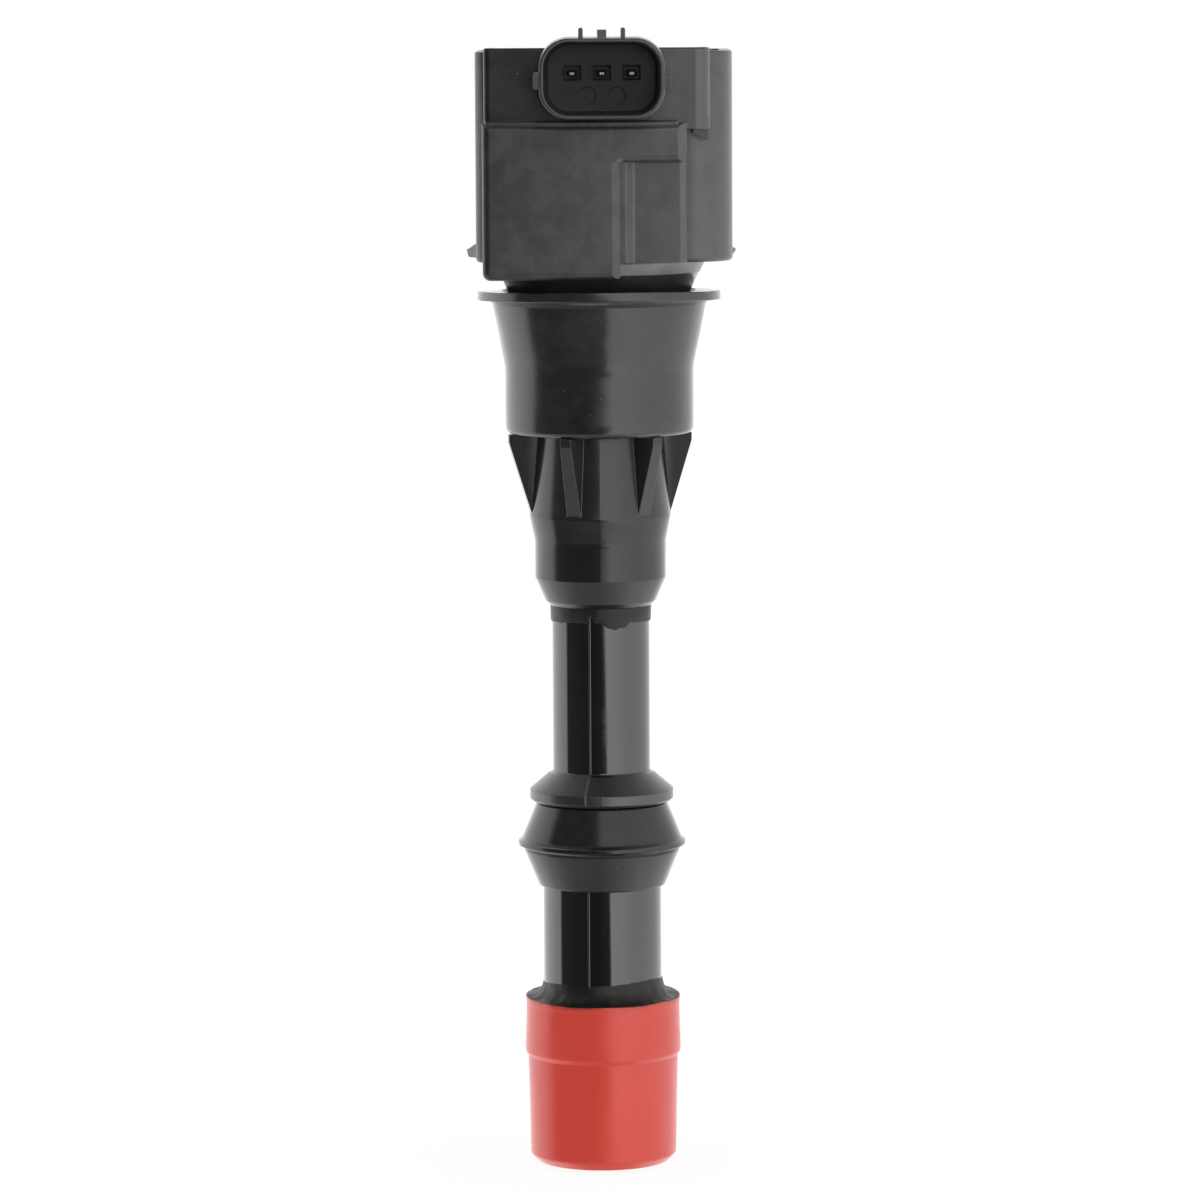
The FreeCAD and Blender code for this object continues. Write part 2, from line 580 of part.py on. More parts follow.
def primary_winding():
    """Two layers of wire on the primary bobbin. The outer face shows each turn."""
    wire = 0.74
    first, last = WIND_X[0] + 1.05, WIND_X[1] - 1.05
    turns = int((last - first) / wire)
    inner, crest = 6.62, 8.1
    edges = []
    for i in range(turns):
        x0, x1 = first + i * wire, first + (i + 1) * wire
        edges.append(Part.Arc(Vector(x0, crest - wire / 4, 0), Vector((x0 + x1) / 2, crest, 0),
                              Vector(x1, crest - wire / 4, 0)).toShape())
    end = first + turns * wire
    corners = [Vector(end, crest - wire / 4, 0), Vector(end, inner, 0), Vector(first, inner, 0),
               Vector(first, crest - wire / 4, 0)]
    edges += [Part.makeLine(a, b) for a, b in zip(corners, corners[1:])]
    winding = Part.Face(Part.Wire(edges)).revolve(CENTRE, Vector(1, 0, 0), 360)
    winding.translate(Vector(0, WIND_Y, WIND_Z))
    return winding


SLOTS = 8
SECONDARY_X = (-12.9, 14.3)
SECONDARY_WALL = 0.8
SECONDARY_R = 11.3


def slot_range(i):
    """One winding slot of the secondary bobbin."""
    pitch = (SECONDARY_X[1] - SECONDARY_X[0] - SECONDARY_WALL) / SLOTS
    return (SECONDARY_X[0] + i * pitch + SECONDARY_WALL, SECONDARY_X[0] + (i + 1) * pitch)


def secondary_bobbin():
    """Slotted bobbin that keeps the high-voltage winding in separate sections."""
    solid = cylinder_x(SECONDARY_R, *SECONDARY_X)
    cuts = [cylinder_x(8.6, SECONDARY_X[0] - 1, SECONDARY_X[1] + 1)]
    for i in range(SLOTS):
        x0, x1 = slot_range(i)
        cuts.append(cylinder_x(SECONDARY_R + 1, x0, x1).cut(cylinder_x(9.4, x0 - 1, x1 + 1)))
    return solid.cut(cuts)


def secondary_winding():
    """Fine wire, one ring per slot."""
    rings = []
    for i in range(SLOTS):
        x0, x1 = slot_range(i)
        rings.append(cylinder_x(10.9, x0, x1).cut(cylinder_x(9.4, x0 - 1, x1 + 1)))
    return Part.makeCompound(rings)


DIODE_X = (-4.0, 4.5)
DIODE_Z = 181.6


def high_voltage_diode():
    """Axial diode above the windings, with its two leads."""
    body = cylinder_x(1.5, *DIODE_X, z=DIODE_Z)
    leads = cylinder_x(0.35, DIODE_X[0] - 4.0, DIODE_X[1] + 4.0, z=DIODE_Z)
    return body.fuse(leads).removeSplitter()


def high_voltage_terminal():
    """Pressed cup under the windings that takes the resistor's upper end."""
    cup = cylinder_z(3.6, 143.5, 151.0).cut(cylinder_z(3.1, 142.0, 149.9))
    stem = cylinder_z(0.8, 150.5, 156.4)
    return cup.fuse(stem).removeSplitter()


def noise_resistor():
    """Ceramic rod that damps radio noise."""
    return cylinder_z(2.5, 130.0, 147.6)


def resistor_caps():
    """Pressed end caps of the resistor."""
    top = cylinder_z(3.08, 145.2, 148.6).cut(cylinder_z(2.52, 144.0, 147.65))
    bottom = cylinder_z(3.08, 129.0, 132.4).cut(cylinder_z(2.52, 129.95, 133.0))
    return Part.makeCompound([top, bottom])


def spring_seat():
    """Button through the web: the resistor stands on it and the spring is screwed on its stud."""
    profile = [(0, 120.4), (1.2, 120.4), (1.6, 121.0), (1.6, 123.5), (3.3, 123.5), (3.3, 128.9), (0, 128.9)]
    return revolved(profile, [0, 0, 0.2, 0, 0.2, 0.2, 0])


def contact_spring():
    """Open compression spring with closed ends."""
    low, high = SPRING_Z[0] + SPRING_WIRE_R, SPRING_Z[1] - SPRING_WIRE_R
    helix = Part.makeHelix(SPRING_PITCH, high - low, SPRING_R)
    helix.translate(Vector(0, 0, low))
    start = helix.Edges[0].Vertexes[0].Point
    tangent = Vector(0, 2 * math.pi * SPRING_R, SPRING_PITCH)
    wire = Part.Wire(Part.makeCircle(SPRING_WIRE_R, start, tangent))
    return Part.Wire(helix.Edges).makePipeShell([wire], True, True)


def plug_contact():
    """Turned contact that the plug's terminal pushes up the tube. Its stud sits inside the spring."""
    face, shoulder = CONTACT_FACE_Z, SPRING_Z[0] - 0.1
    profile = [(0, face + 0.9), (2.0, face), (2.9, face), (3.2, face + 0.6), (3.2, shoulder), (1.7, shoulder),
               (1.7, 39.0), (1.1, 40.0), (0, 40.0)]
    return revolved(profile, [0, 0.2, 0.1, 0.3, 0.2, 0, 0.2, 0.2, 0])


def mounting_bush():
    """Rolled steel bush that takes the bolt's load past the plastic ear."""
    wall = [(BOLT_BORE_R, BUSH_Z[0]), (BUSH_R, BUSH_Z[0]), (BUSH_R, BUSH_Z[1]), (BOLT_BORE_R, BUSH_Z[1])]
    bush = revolved(wall, [0, 0.25, 0.25, 0])
    bush.translate(Vector(0, EAR_Y, 0))
    return bush


def epoxy_potting(inside):
    """Cured resin that fills the head and the upper tower round the pieces named inside."""
    level = block((-30, 30), (-30, 30), (100, RESIN_Z))
    fill = join(head_cavity() + [tower_cavity()]).common(level)
    envelope = cylinder_x(SECONDARY_R, *WIND_X)
    cores = [block((WIND_X[0] - 0.15 - ARM, WIND_X[0] + 0.1), (WIND_Y - CORE_SIDE / 2, 15.3), CORE_Z),
             block((WIND_X[1] - 0.1, WIND_X[1] + 0.05 + ARM), (WIND_Y - CORE_SIDE / 2, 15.3), CORE_Z),
             block((WIND_X[0], WIND_X[1]), (9.0, 15.3), CORE_Z)]
    rod = cylinder_z(3.6, 128.8, 151.0)
    stud = cylinder_z(3.3, 125.9, 129.0)
    return fill.cut([envelope, rod, stud] + cores + inside)


# ---------------------------------------------------------------- write the pieces
def write(pieces):
    os.makedirs("parts", exist_ok=True)
    for name, shape in pieces.items():
        solids = shape.Solids
        bad = [s for s in solids if not s.isValid() or s.Volume <= 0]
        note = "BAD" if bad or not solids else ""
        print(f"{name:24s} solids {len(solids):3d} volume {shape.Volume:10.2f} {note}")
        out = solids[0] if len(solids) == 1 else Part.makeCompound(solids)
        out.exportStep(f"parts/{name}.step")


def build():
    names = ["power_terminal", "ground_terminal", "signal_terminal"]
    pieces = {name: terminal(x, LEAD_Z + 1.0) for name, x in zip(names, pin_places())}
    pieces["igniter_module"] = igniter_module()
    pieces["igniter_heat_spreader"] = igniter_heat_spreader()
    pieces["igniter_leads"] = igniter_leads()
    pieces["high_voltage_diode"] = high_voltage_diode()
    pieces["high_voltage_terminal"] = high_voltage_terminal()
    embedded = list(pieces.values())
    pieces["epoxy_potting"] = epoxy_potting(embedded)
    pieces["coil_case"] = coil_case()
    pieces["connector_socket"] = connector_socket()
    pieces["mounting_bush"] = mounting_bush()
    pieces["centre_core"] = centre_core()
    pieces["outer_core"] = outer_core()
    pieces["core_magnet"] = core_magnet()
    pieces["primary_bobbin"] = primary_bobbin()
    pieces["primary_winding"] = primary_winding()
    pieces["secondary_bobbin"] = secondary_bobbin()
    pieces["secondary_winding"] = secondary_winding()
    pieces["noise_resistor"] = noise_resistor()
    pieces["resistor_caps"] = resistor_caps()
    pieces["spring_seat"] = spring_seat()
    pieces["contact_spring"] = contact_spring()
    pieces["plug_contact"] = plug_contact()
    pieces["extension_tube"] = extension_tube()
    pieces["joint_sealant"] = joint_sealant()
    pieces["boot_sealant"] = boot_sealant()
    pieces["middle_seal"] = middle_seal()
    pieces["well_seal"] = well_seal()
    pieces["plug_boot"] = plug_boot()
    return pieces


write(build())
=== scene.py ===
"""Looks of the ignition coil: procedural materials, rubber and wire pieces, floor, light and camera.

Lengths are in metres, in the CAD's frame. The origin is the centre of the boot's mouth, +Z runs up the tower
and -Y out of the electrical socket. Sizes come from the record's mounts and from the boxes of the CAD nodes.
"""

import json
import math
from types import SimpleNamespace

import bmesh
import bpy
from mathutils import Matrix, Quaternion, Vector, noise


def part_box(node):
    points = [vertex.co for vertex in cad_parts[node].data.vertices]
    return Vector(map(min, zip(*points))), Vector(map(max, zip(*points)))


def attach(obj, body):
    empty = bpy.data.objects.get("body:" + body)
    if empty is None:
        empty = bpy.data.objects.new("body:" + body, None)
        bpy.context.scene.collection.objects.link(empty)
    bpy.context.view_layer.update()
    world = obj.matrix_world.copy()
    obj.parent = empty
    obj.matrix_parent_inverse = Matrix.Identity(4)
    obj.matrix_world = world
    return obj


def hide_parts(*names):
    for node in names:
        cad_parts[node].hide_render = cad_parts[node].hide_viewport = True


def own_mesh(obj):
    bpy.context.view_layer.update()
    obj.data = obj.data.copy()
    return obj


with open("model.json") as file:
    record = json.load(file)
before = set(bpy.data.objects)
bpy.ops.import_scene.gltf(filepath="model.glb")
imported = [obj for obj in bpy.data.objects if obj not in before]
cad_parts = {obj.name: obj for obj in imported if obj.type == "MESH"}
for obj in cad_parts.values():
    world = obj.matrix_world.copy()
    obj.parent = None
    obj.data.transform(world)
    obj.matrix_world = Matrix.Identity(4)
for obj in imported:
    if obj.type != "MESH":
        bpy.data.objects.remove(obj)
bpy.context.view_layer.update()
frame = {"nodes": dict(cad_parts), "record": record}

NODES = frame["nodes"]
RECORD = frame["record"]
MM = 0.001
JOINT = "contact_slide"
JOINT_RANGE = next(j for j in RECORD["behaviour"]["joints"] if j["name"] == JOINT)["range_m"]
SOCKET_X, _, SOCKET_Z = next(m for m in RECORD["mounts"] if m["name"] == "harness_socket")["pos_m"]

# Places taken from the CAD nodes' boxes
BOOT_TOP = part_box("plug_boot")[1].z
CUP_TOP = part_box("well_seal")[1].z
CUP_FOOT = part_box("well_seal")[0].z
HEAD_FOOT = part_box("mounting_bush")[0].z
CASE_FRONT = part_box("coil_case")[0].y
SOCKET_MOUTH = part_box("connector_socket")[0].y
SOCKET_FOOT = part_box("connector_socket")[0].z
TUBE_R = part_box("joint_sealant")[1].x
FLANGE_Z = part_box("middle_seal")[1].z
LIP_Z = (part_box("middle_seal")[0].z + FLANGE_Z) / 2

# Borders between the finishes of the case and the socket, which no box shows
BLOCK_FOOT = HEAD_FOOT - 2.5 * MM        # the front block hangs this far below the head
NECK_R = 17.9 * MM                       # the neck is inside this radius, the front block outside
NECK_FOOT = CUP_TOP - 4.0 * MM           # hidden in the cup
NECK_HAZE_Z = HEAD_FOOT - 1.8 * MM       # the neck is hazy above this height
FIN_X = 11.3 * MM                        # the side fins stand further out than this
FIN_FOOT = CUP_FOOT - 12.4 * MM
BAND_FOOT = SOCKET_FOOT - 0.5 * MM       # the head's front beside the socket
BAND_BACK = CASE_FRONT + 2.2 * MM
OPENING_HALF_WIDTH = 9.2 * MM            # inside the socket's shroud
OPENING_HALF_HEIGHT = 5.7 * MM
CRISP = 0.1 * MM                         # half the width of a crisp border

# Studio light: radiance of the cards as (bearing in degrees, level), near the horizon, well below it and for
# diffuse light
REFLECTED = ((-180, 1.6), (-140, 1.9), (-114, 2.5), (-91, 2.7), (-86, 0.22), (-60, 0.16), (-20, 0.08),
             (6.8, 0.18), (8.2, 0.9), (10, 3.7), (35, 3.4), (60, 2.8), (90, 2.4), (114, 1.9), (140, 1.6),
             (180, 1.6))
REFLECTED_LOW = ((-180, 1.6), (-120, 2.4), (-95, 2.2), (-60, 1.3), (0, 1.25), (40, 2.2), (80, 3.0),
                 (140, 1.8), (180, 1.6))
DIFFUSE = ((-180, 0.78), (-100, 0.76), (-80, 0.70), (-10, 0.8), (30, 1.05), (95, 1.0), (180, 0.78))
BACKDROP_LEVEL = 1.0
UNDER_LEVEL, OVERHEAD_LEVEL = 0.7, 0.6   # far below and far above the cards
LOW_CARDS_AT = (-26, -30)                # heights over the horizon where one light gives way to the next
UNDER_AT = (-58, -66)
OVERHEAD_AT = (25, 60)
LEAN = 1.9                               # degrees that the cards turn per degree of a ray's height
LEAN_LEVEL = 5.6                         # depth under the horizon where they aren't turned
LEAN_TOP = 2.0                           # height above which they turn no further
LEAN_TURNS_AT = -10.0                    # height where the turn is largest, below which it goes back to none
LEAN_BEARINGS = (-70, -20)               # the turn sets in between these

# Floor and camera
FLOOR_SIZE, FLOOR_Z = 12.0, -0.6 * MM
FLOOR_GLOW = 0.93
CAMERA_TARGET = Vector((-0.12 * MM, 0, 94.4 * MM))
CAMERA_REACH, CAMERA_RISE, CAMERA_ROLL = 0.984, math.radians(5.96), math.radians(-0.32)
CAMERA_LENS, CAMERA_SENSOR = 177.2, 36.0


# ---------------------------------------------------------------- node-tree helpers
class Nodes:
    """Adds, fills and links the nodes of one tree."""

    def __init__(self, tree):
        self.tree = tree
        self.tree.nodes.clear()

    def put(self, value, socket):
        """Links the socket to another node's output, or gives it a plain value."""
        if isinstance(value, bpy.types.NodeSocket):
            self.tree.links.new(value, socket)
        elif value is not None:
            socket.default_value = value

    def new(self, kind, **inputs):
        """A new node, with inputs by name, written with an underscore for each space."""
        node = self.tree.nodes.new(kind)
        for name, value in inputs.items():
            self.put(value, node.inputs[name.replace("_", " ")])
        return node

    def fill(self, node, *values):
        """Gives a node's inputs their values in order, and returns its first output."""
        for value, socket in zip(values, node.inputs):
            self.put(value, socket)
        return node.outputs[0]

    def math(self, operation, *values):
        """One step of arithmetic on numbers or outputs."""
        node = self.new("ShaderNodeMath")
        node.operation = operation
        return self.fill(node, *values)

    def total(self, first, *others):
        """The sum of numbers or outputs."""
        for other in others:
            first = self.math("ADD", first, other)
        return first

    def product(self, first, *others):
        """The product of numbers or outputs."""
        for other in others:
            first = self.math("MULTIPLY", first, other)
        return first

    def blend(self, share, first, second):
        """A shader that is the first one where share is 0 and the second where it is 1."""
        return self.fill(self.new("ShaderNodeMixShader"), share, first, second)


class Shader(Nodes):
    """The nodes of one surface material, whose patterns lie in the CAD's frame."""

    def __init__(self, name):
        self.material = bpy.data.materials.new(name)
        self.material.use_nodes = True
        super().__init__(self.material.node_tree)
        self.surface = self.new("ShaderNodeOutputMaterial").inputs["Surface"]
        self.coords = self.new("ShaderNodeTexCoord").outputs["Object"]
        self.split = None

    def stretched(self, scale):
        """Coordinates scaled along x, y and z. A small factor draws a pattern out along its axis."""
        return self.new("ShaderNodeMapping", Vector=self.coords, Scale=scale).outputs[0]

    def noise(self, scale, detail=4.0, roughness=0.55, vector=None, distortion=0.0):
        """Cloudy noise with about scale features per metre."""
        node = self.new("ShaderNodeTexNoise", Vector=vector or self.coords, Scale=scale, Detail=detail,
                        Roughness=roughness, Distortion=distortion)
        return node.outputs["Fac"]

    def cells(self, scale):
        """Randomly placed cells, about scale per metre, with the outputs Distance and Color."""
        return self.new("ShaderNodeTexVoronoi", Vector=self.coords, Scale=scale).outputs

    def ramp(self, value, low, high, start, end):
        """Maps value from low..high to start..end smoothly, with both ends held."""
        node = self.new("ShaderNodeMapRange", Value=value, From_Min=low, From_Max=high, To_Min=start,
                        To_Max=end)
        node.interpolation_type = "SMOOTHSTEP"
        return node.outputs[0]

    def rise(self, value, low, high):
        """0 below low, 1 above high."""
        return self.ramp(value, low, high, 0.0, 1.0)

    def fall(self, value, low, high):
        """1 below low, 0 above high."""
        return self.ramp(value, low, high, 1.0, 0.0)

    def within(self, value, low, high, soft):
        """1 between low and high, falling to 0 over a soft margin outside."""
        return self.product(self.rise(value, low - soft, low), self.fall(value, high, high + soft))

    def vary(self, pattern, start, end):
        """A value that wanders between start and end with a noise pattern, which is mostly 0.3 to 0.7."""
        return self.ramp(pattern, 0.3, 0.7, start, end)

    def switch(self, mask, off, on):
        """One value where the mask is 0 and another where it is 1."""
        return self.ramp(mask, 0, 1, off, on)

    def mix(self, share, first, second):
        """A colour that goes from the first to the second with share."""
        node = self.new("ShaderNodeMix")
        node.data_type = "RGBA"
        self.put(share, node.inputs["Factor"])
        for socket in node.inputs:
            if socket.type == "RGBA":
                self.put(first if socket.name == "A" else second, socket)
        return next(out for out in node.outputs if out.type == "RGBA")

    def bump(self, height, strength, distance, normal=None):
        """A normal with relief from a height pattern, on top of another normal if one is given."""
        node = self.new("ShaderNodeBump", Height=height, Strength=strength, Distance=distance, Normal=normal)
        return node.outputs[0]

    def axis(self, name):
        """The X, Y or Z coordinate in the CAD's frame, in metres."""
        if self.split is None:
            self.split = self.new("ShaderNodeSeparateXYZ", Vector=self.coords)
        return self.split.outputs[name]

    def away(self, name, place):
        """Distance from a place along one axis, in metres."""
        return self.math("ABSOLUTE", self.math("SUBTRACT", self.axis(name), place))

    def around(self):
        """Distance from the tower's axis, in metres."""
        x, y = self.axis("X"), self.axis("Y")
        return self.math("SQRT", self.total(self.product(x, x), self.product(y, y)))

    def specks(self, spacing, size, cover):
        """Tiny spots of mixed size and strength, at most one per cell, in a share of the cells."""
        cells = self.cells(1.0 / spacing)
        chance = self.new("ShaderNodeSeparateColor", Color=cells["Color"]).outputs
        chosen = self.math("LESS_THAN", chance[0], cover)
        strength = self.switch(chance[1], 0.25, 1.0)
        reach = self.product(strength, size / spacing)
        spot = self.fall(self.math("DIVIDE", cells["Distance"], reach), 0.6, 1.0)
        return self.product(spot, chosen, strength)

    def dusted(self, color, spacing, size, cover, strength, tint):
        """The colour with specks of dust on it."""
        return self.mix(self.product(self.specks(spacing, size, cover), strength), color, tint)

    def bevel(self, radius):
        """A normal that rounds sharp edges off by a given radius."""
        node = self.new("ShaderNodeBevel", Radius=radius)
        node.samples = 6
        return node.outputs[0]

    def edges(self, bevelled):
        """1 on sharp edges, falling to 0 where the bevelled normal meets the surface's own."""
        node = self.new("ShaderNodeVectorMath")
        node.operation = "DOT_PRODUCT"
        self.fill(node, bevelled, self.new("ShaderNodeNewGeometry").outputs["Normal"])
        return self.fall(node.outputs["Value"], 0.80, 0.99)

    def finish(self, color, roughness, normal=None, **extra):
        """Puts the surface together and returns the material."""
        node = self.new("ShaderNodeBsdfPrincipled", Base_Color=color, Roughness=roughness, Normal=normal,
                        **extra)
        self.put(node.outputs[0], self.surface)
        return self.material

    def one_sided(self):
        """Makes the finished surface clear when it's seen from behind."""
        behind = self.new("ShaderNodeNewGeometry").outputs["Backfacing"]
        front = self.surface.links[0].from_socket
        clear = self.new("ShaderNodeBsdfTransparent").outputs[0]
        self.put(self.blend(behind, front, clear), self.surface)


def rgb(r, g, b):
    """An opaque colour."""
    return (r, g, b, 1.0)


def grey(level):
    """An opaque neutral colour."""
    return rgb(level, level, level)


# ---------------------------------------------------------------- materials
DUST = rgb(0.40, 0.39, 0.37)


def case_patterns(s):
    """Noise patterns that the case's colour, shine and relief share."""
    return SimpleNamespace(
        flow=s.noise(90, 3, 0.5, s.stretched((1.0, 1.0, 0.18))),
        cloud=s.noise(38, 5, 0.6),
        mottle=s.noise(260, 5, 0.65),
        scratch=s.noise(700, 3, 0.6, s.stretched((1.0, 1.0, 0.06))),
        smear=s.noise(130, 3, 0.55, s.stretched((0.55, 0.55, 1.6)), 0.8),
        grit=s.noise(2600, 2, 0.6),
    )


def case_areas(s, mottle):
    """Masks of the case's areas that look different."""
    up, reach = s.axis("Z"), s.around()
    block = s.product(s.rise(up, BLOCK_FOOT, BLOCK_FOOT + CRISP), s.rise(reach, NECK_R, NECK_R + 2 * CRISP))
    head = s.math("MAXIMUM", s.rise(up, HEAD_FOOT - CRISP, HEAD_FOOT + CRISP), block)
    neck = s.product(s.within(up, NECK_FOOT, HEAD_FOOT, 2 * CRISP), s.fall(reach, NECK_R, NECK_R + 2 * CRISP))
    hazy_neck = s.product(neck, s.rise(up, NECK_HAZE_Z, NECK_HAZE_Z + 1.2 * CRISP))
    # the side fins under the cup, whose shine is lowered as painted shade
    fins_in_painted_shade = s.product(s.fall(up, CUP_FOOT, CUP_FOOT + 2 * CRISP),
                     s.rise(s.away("X", 0.0), FIN_X - 12 * CRISP, FIN_X + 12 * CRISP))
    below_cup = s.product(s.within(up, FIN_FOOT, CUP_FOOT, 3 * MM), s.vary(mottle, 0.25, 0.6),
                          s.math("SUBTRACT", 1.0, fins_in_painted_shade))
    band = s.product(s.rise(up, BAND_FOOT, BAND_FOOT + 4 * CRISP),
                     s.fall(s.axis("Y"), BAND_BACK - 4 * CRISP, BAND_BACK))
    return SimpleNamespace(
        head=head, neck=neck, hazy_neck=hazy_neck, fins_in_painted_shade=fins_in_painted_shade, below_cup=below_cup,
        # painted shade: the head's front band is darker and less shiny to the left of the socket
        painted_shade_beside_socket=s.product(band, s.fall(s.axis("X"), -6 * MM, 12 * MM)),
        rightward=s.rise(s.axis("X"), -26 * MM, 20 * MM),
        right_end=s.rise(s.axis("X"), 10 * MM, 16 * MM),
    )


def head_haze_and_painted_shade(s, pattern, area, haze):
    """How pale the head is: more to the right, less in a few dirty patches, and less beside the socket, where
    shade is painted in.
    """
    dirt = s.product(area.right_end, s.ramp(pattern.mottle, 0.45, 0.65, 0.0, 0.35))
    hazy = s.total(s.product(haze, 0.35), s.product(area.rightward, 0.65),
                   s.vary(pattern.mottle, -0.11, 0.13), s.ramp(pattern.scratch, 0.55, 0.75, 0.0, 0.16))
    # the dirty patches and the painted shade beside the socket both darken the head
    return s.math("SUBTRACT", hazy, s.total(dirt, s.product(area.painted_shade_beside_socket, 0.45)))


def case_color(s, pattern, area, worn):
    """Near-black plastic with a grey haze, which is strongest in the upper neck and on worn edges. The neck's
    grey is raised as painted light in the shade just above the cup.
    """
    haze = s.total(s.ramp(pattern.cloud, 0.3, 0.72, 0.0, 0.6), s.ramp(pattern.flow, 0.35, 0.7, 0.0, 0.4))
    tower = s.mix(haze, rgb(0.0065, 0.0068, 0.007), grey(0.013))
    tower = s.mix(area.below_cup, tower, grey(0.020))
    head = s.mix(head_haze_and_painted_shade(s, pattern, area, haze), rgb(0.0085, 0.0088, 0.009), rgb(0.038, 0.038, 0.037))
    # painted light: the neck's grey is paler than the tower's to light up the shade just above the cup
    neck = s.mix(s.rise(pattern.smear, 0.35, 0.65), grey(0.022), rgb(0.045, 0.045, 0.044))
    fog = s.mix(s.rise(pattern.smear, 0.38, 0.6), rgb(0.17, 0.17, 0.167), rgb(0.24, 0.237, 0.231))
    color = s.mix(area.head, tower, head)
    color = s.mix(area.neck, color, neck)
    color = s.mix(area.hazy_neck, color, fog)
    color = s.mix(s.product(worn, 0.75), color, rgb(0.12, 0.12, 0.118))
    color = s.dusted(color, 1.2 * MM, 0.07 * MM, 0.35, 0.35, DUST)
    return s.dusted(color, 3.4 * MM, 0.13 * MM, 0.3, 0.4, DUST)


def case_roughness(s, pattern, area):
    """Satin head and upper neck, smoother tower and lower neck."""
    body = s.total(s.switch(area.head, 0.18, 0.36), s.ramp(pattern.cloud, 0.3, 0.75, -0.03, 0.03),
                   s.product(area.below_cup, 0.04))
    neck = s.switch(area.hazy_neck, 0.18, 0.4)
    either = s.total(s.product(body, s.math("SUBTRACT", 1.0, area.neck)), s.product(neck, area.neck))
    return s.total(either, s.vary(pattern.mottle, -0.02, 0.02))


def case_sheen(s, pattern, area):
    """How strongly the case reflects: the head more to its right and less beside the socket, where shade is
    painted in; the tower evenly; the side fins little, as painted shade under the cup.
    """
    # painted shade beside the socket lowers the head's shine
    head = s.math("SUBTRACT", s.switch(area.rightward, 0.31, 0.50), s.product(area.painted_shade_beside_socket, 0.12))
    head = s.total(head, s.vary(pattern.mottle, -0.05, 0.05), s.vary(pattern.cloud, -0.02, 0.02))
    sheen = s.total(s.product(head, area.head), s.switch(area.head, 0.32, 0.0))
    # painted shade on the side fins under the cup
    return s.math("SUBTRACT", sheen, s.product(area.fins_in_painted_shade, 0.2))


def case_plastic(name):
    """Glass-filled black plastic of the case: hazy satin head, smoother tower and glossy neck."""
    s = Shader(name)
    pattern = case_patterns(s)
    area = case_areas(s, pattern.mottle)
    rounded = s.bevel(0.22 * MM)
    worn = s.product(s.edges(rounded), s.ramp(pattern.mottle, 0.35, 0.6, 0.35, 1.0))
    normal = s.bump(pattern.flow, 0.10, 0.4 * MM, rounded)
    normal = s.bump(pattern.mottle, 0.10, 0.12 * MM, normal)
    normal = s.bump(pattern.grit, 0.12, 0.05 * MM, normal)
    return s.finish(case_color(s, pattern, area, worn), case_roughness(s, pattern, area), normal,
                    Specular_IOR_Level=case_sheen(s, pattern, area))


def socket_painted_shade(s):
    """Mask of the painted shade inside the socket's shroud, which sets in a little behind the mouth."""
    across = s.fall(s.away("X", SOCKET_X), OPENING_HALF_WIDTH, OPENING_HALF_WIDTH + 3 * CRISP)
    up = s.fall(s.away("Z", SOCKET_Z), OPENING_HALF_HEIGHT, OPENING_HALF_HEIGHT + 3 * CRISP)
    return s.product(across, up, s.rise(s.axis("Y"), SOCKET_MOUTH + 0.7 * MM, SOCKET_MOUTH + 4 * MM))


def socket_plastic(name):
    """Finer, darker moulding of the connector socket, with a worn rim and painted shade inside the shroud:
    darker and less shiny.
    """
    s = Shader(name)
    flow = s.noise(140, 3, 0.5, s.stretched((1.0, 0.25, 1.0)))
    cloud = s.noise(70, 4, 0.6)
    mottle = s.noise(320, 4, 0.6)
    grit = s.noise(2600, 2, 0.6)
    rounded = s.bevel(0.18 * MM)
    inside = socket_painted_shade(s)
    worn = s.product(s.edges(rounded), s.ramp(mottle, 0.35, 0.6, 0.3, 1.0))
    hazy = s.total(s.vary(cloud, 0.0, 0.7), s.ramp(mottle, 0.35, 0.7, 0.0, 0.3))
    color = s.mix(hazy, rgb(0.014, 0.0145, 0.015), grey(0.032))
    color = s.mix(s.product(worn, 0.7), color, rgb(0.15, 0.15, 0.147))
    color = s.dusted(color, 1.2 * MM, 0.07 * MM, 0.35, 0.35, DUST)
    # painted shade: the inside of the shroud is darkened
    color = s.mix(s.product(inside, 0.92), color, rgb(0.0055, 0.0056, 0.0058))
    roughness = s.total(s.vary(cloud, 0.30, 0.38), s.vary(grit, -0.015, 0.02))
    normal = s.bump(flow, 0.08, 0.3 * MM, rounded)
    normal = s.bump(grit, 0.10, 0.05 * MM, normal)
    # the painted shade inside the shroud also lowers the shine
    return s.finish(color, roughness, normal, Specular_IOR_Level=s.switch(inside, 0.42, 0.20))


def tube_plastic(name):
    """Polished black moulding of the extension tube with a satin flange, faint waviness, rubs and dust."""
    s = Shader(name)
    wave = s.noise(26, 2, 0.4, s.stretched((1.0, 1.0, 0.3)))
    rub = s.rise(s.noise(70, 5, 0.65), 0.5, 0.8)
    fine = s.noise(1500, 2)
    flange = s.product(s.rise(s.around(), TUBE_R + CRISP, TUBE_R + 3 * CRISP),
                       s.rise(s.axis("Z"), FLANGE_Z - 1 * MM, FLANGE_Z))
    color = s.mix(s.product(rub, 0.4), rgb(0.0045, 0.005, 0.005), grey(0.013))
    color = s.mix(s.product(flange, 0.8), color, grey(0.016))
    color = s.dusted(color, 1.6 * MM, 0.07 * MM, 0.25, 0.4, DUST)
    roughness = s.total(s.switch(rub, 0.05, 0.13), s.vary(fine, 0.0, 0.02), s.product(flange, 0.26))
    normal = s.bump(wave, 0.08, 0.6 * MM)
    normal = s.bump(fine, 0.05, 0.03 * MM, normal)
    return s.finish(color, roughness, normal, Specular_IOR_Level=0.55)


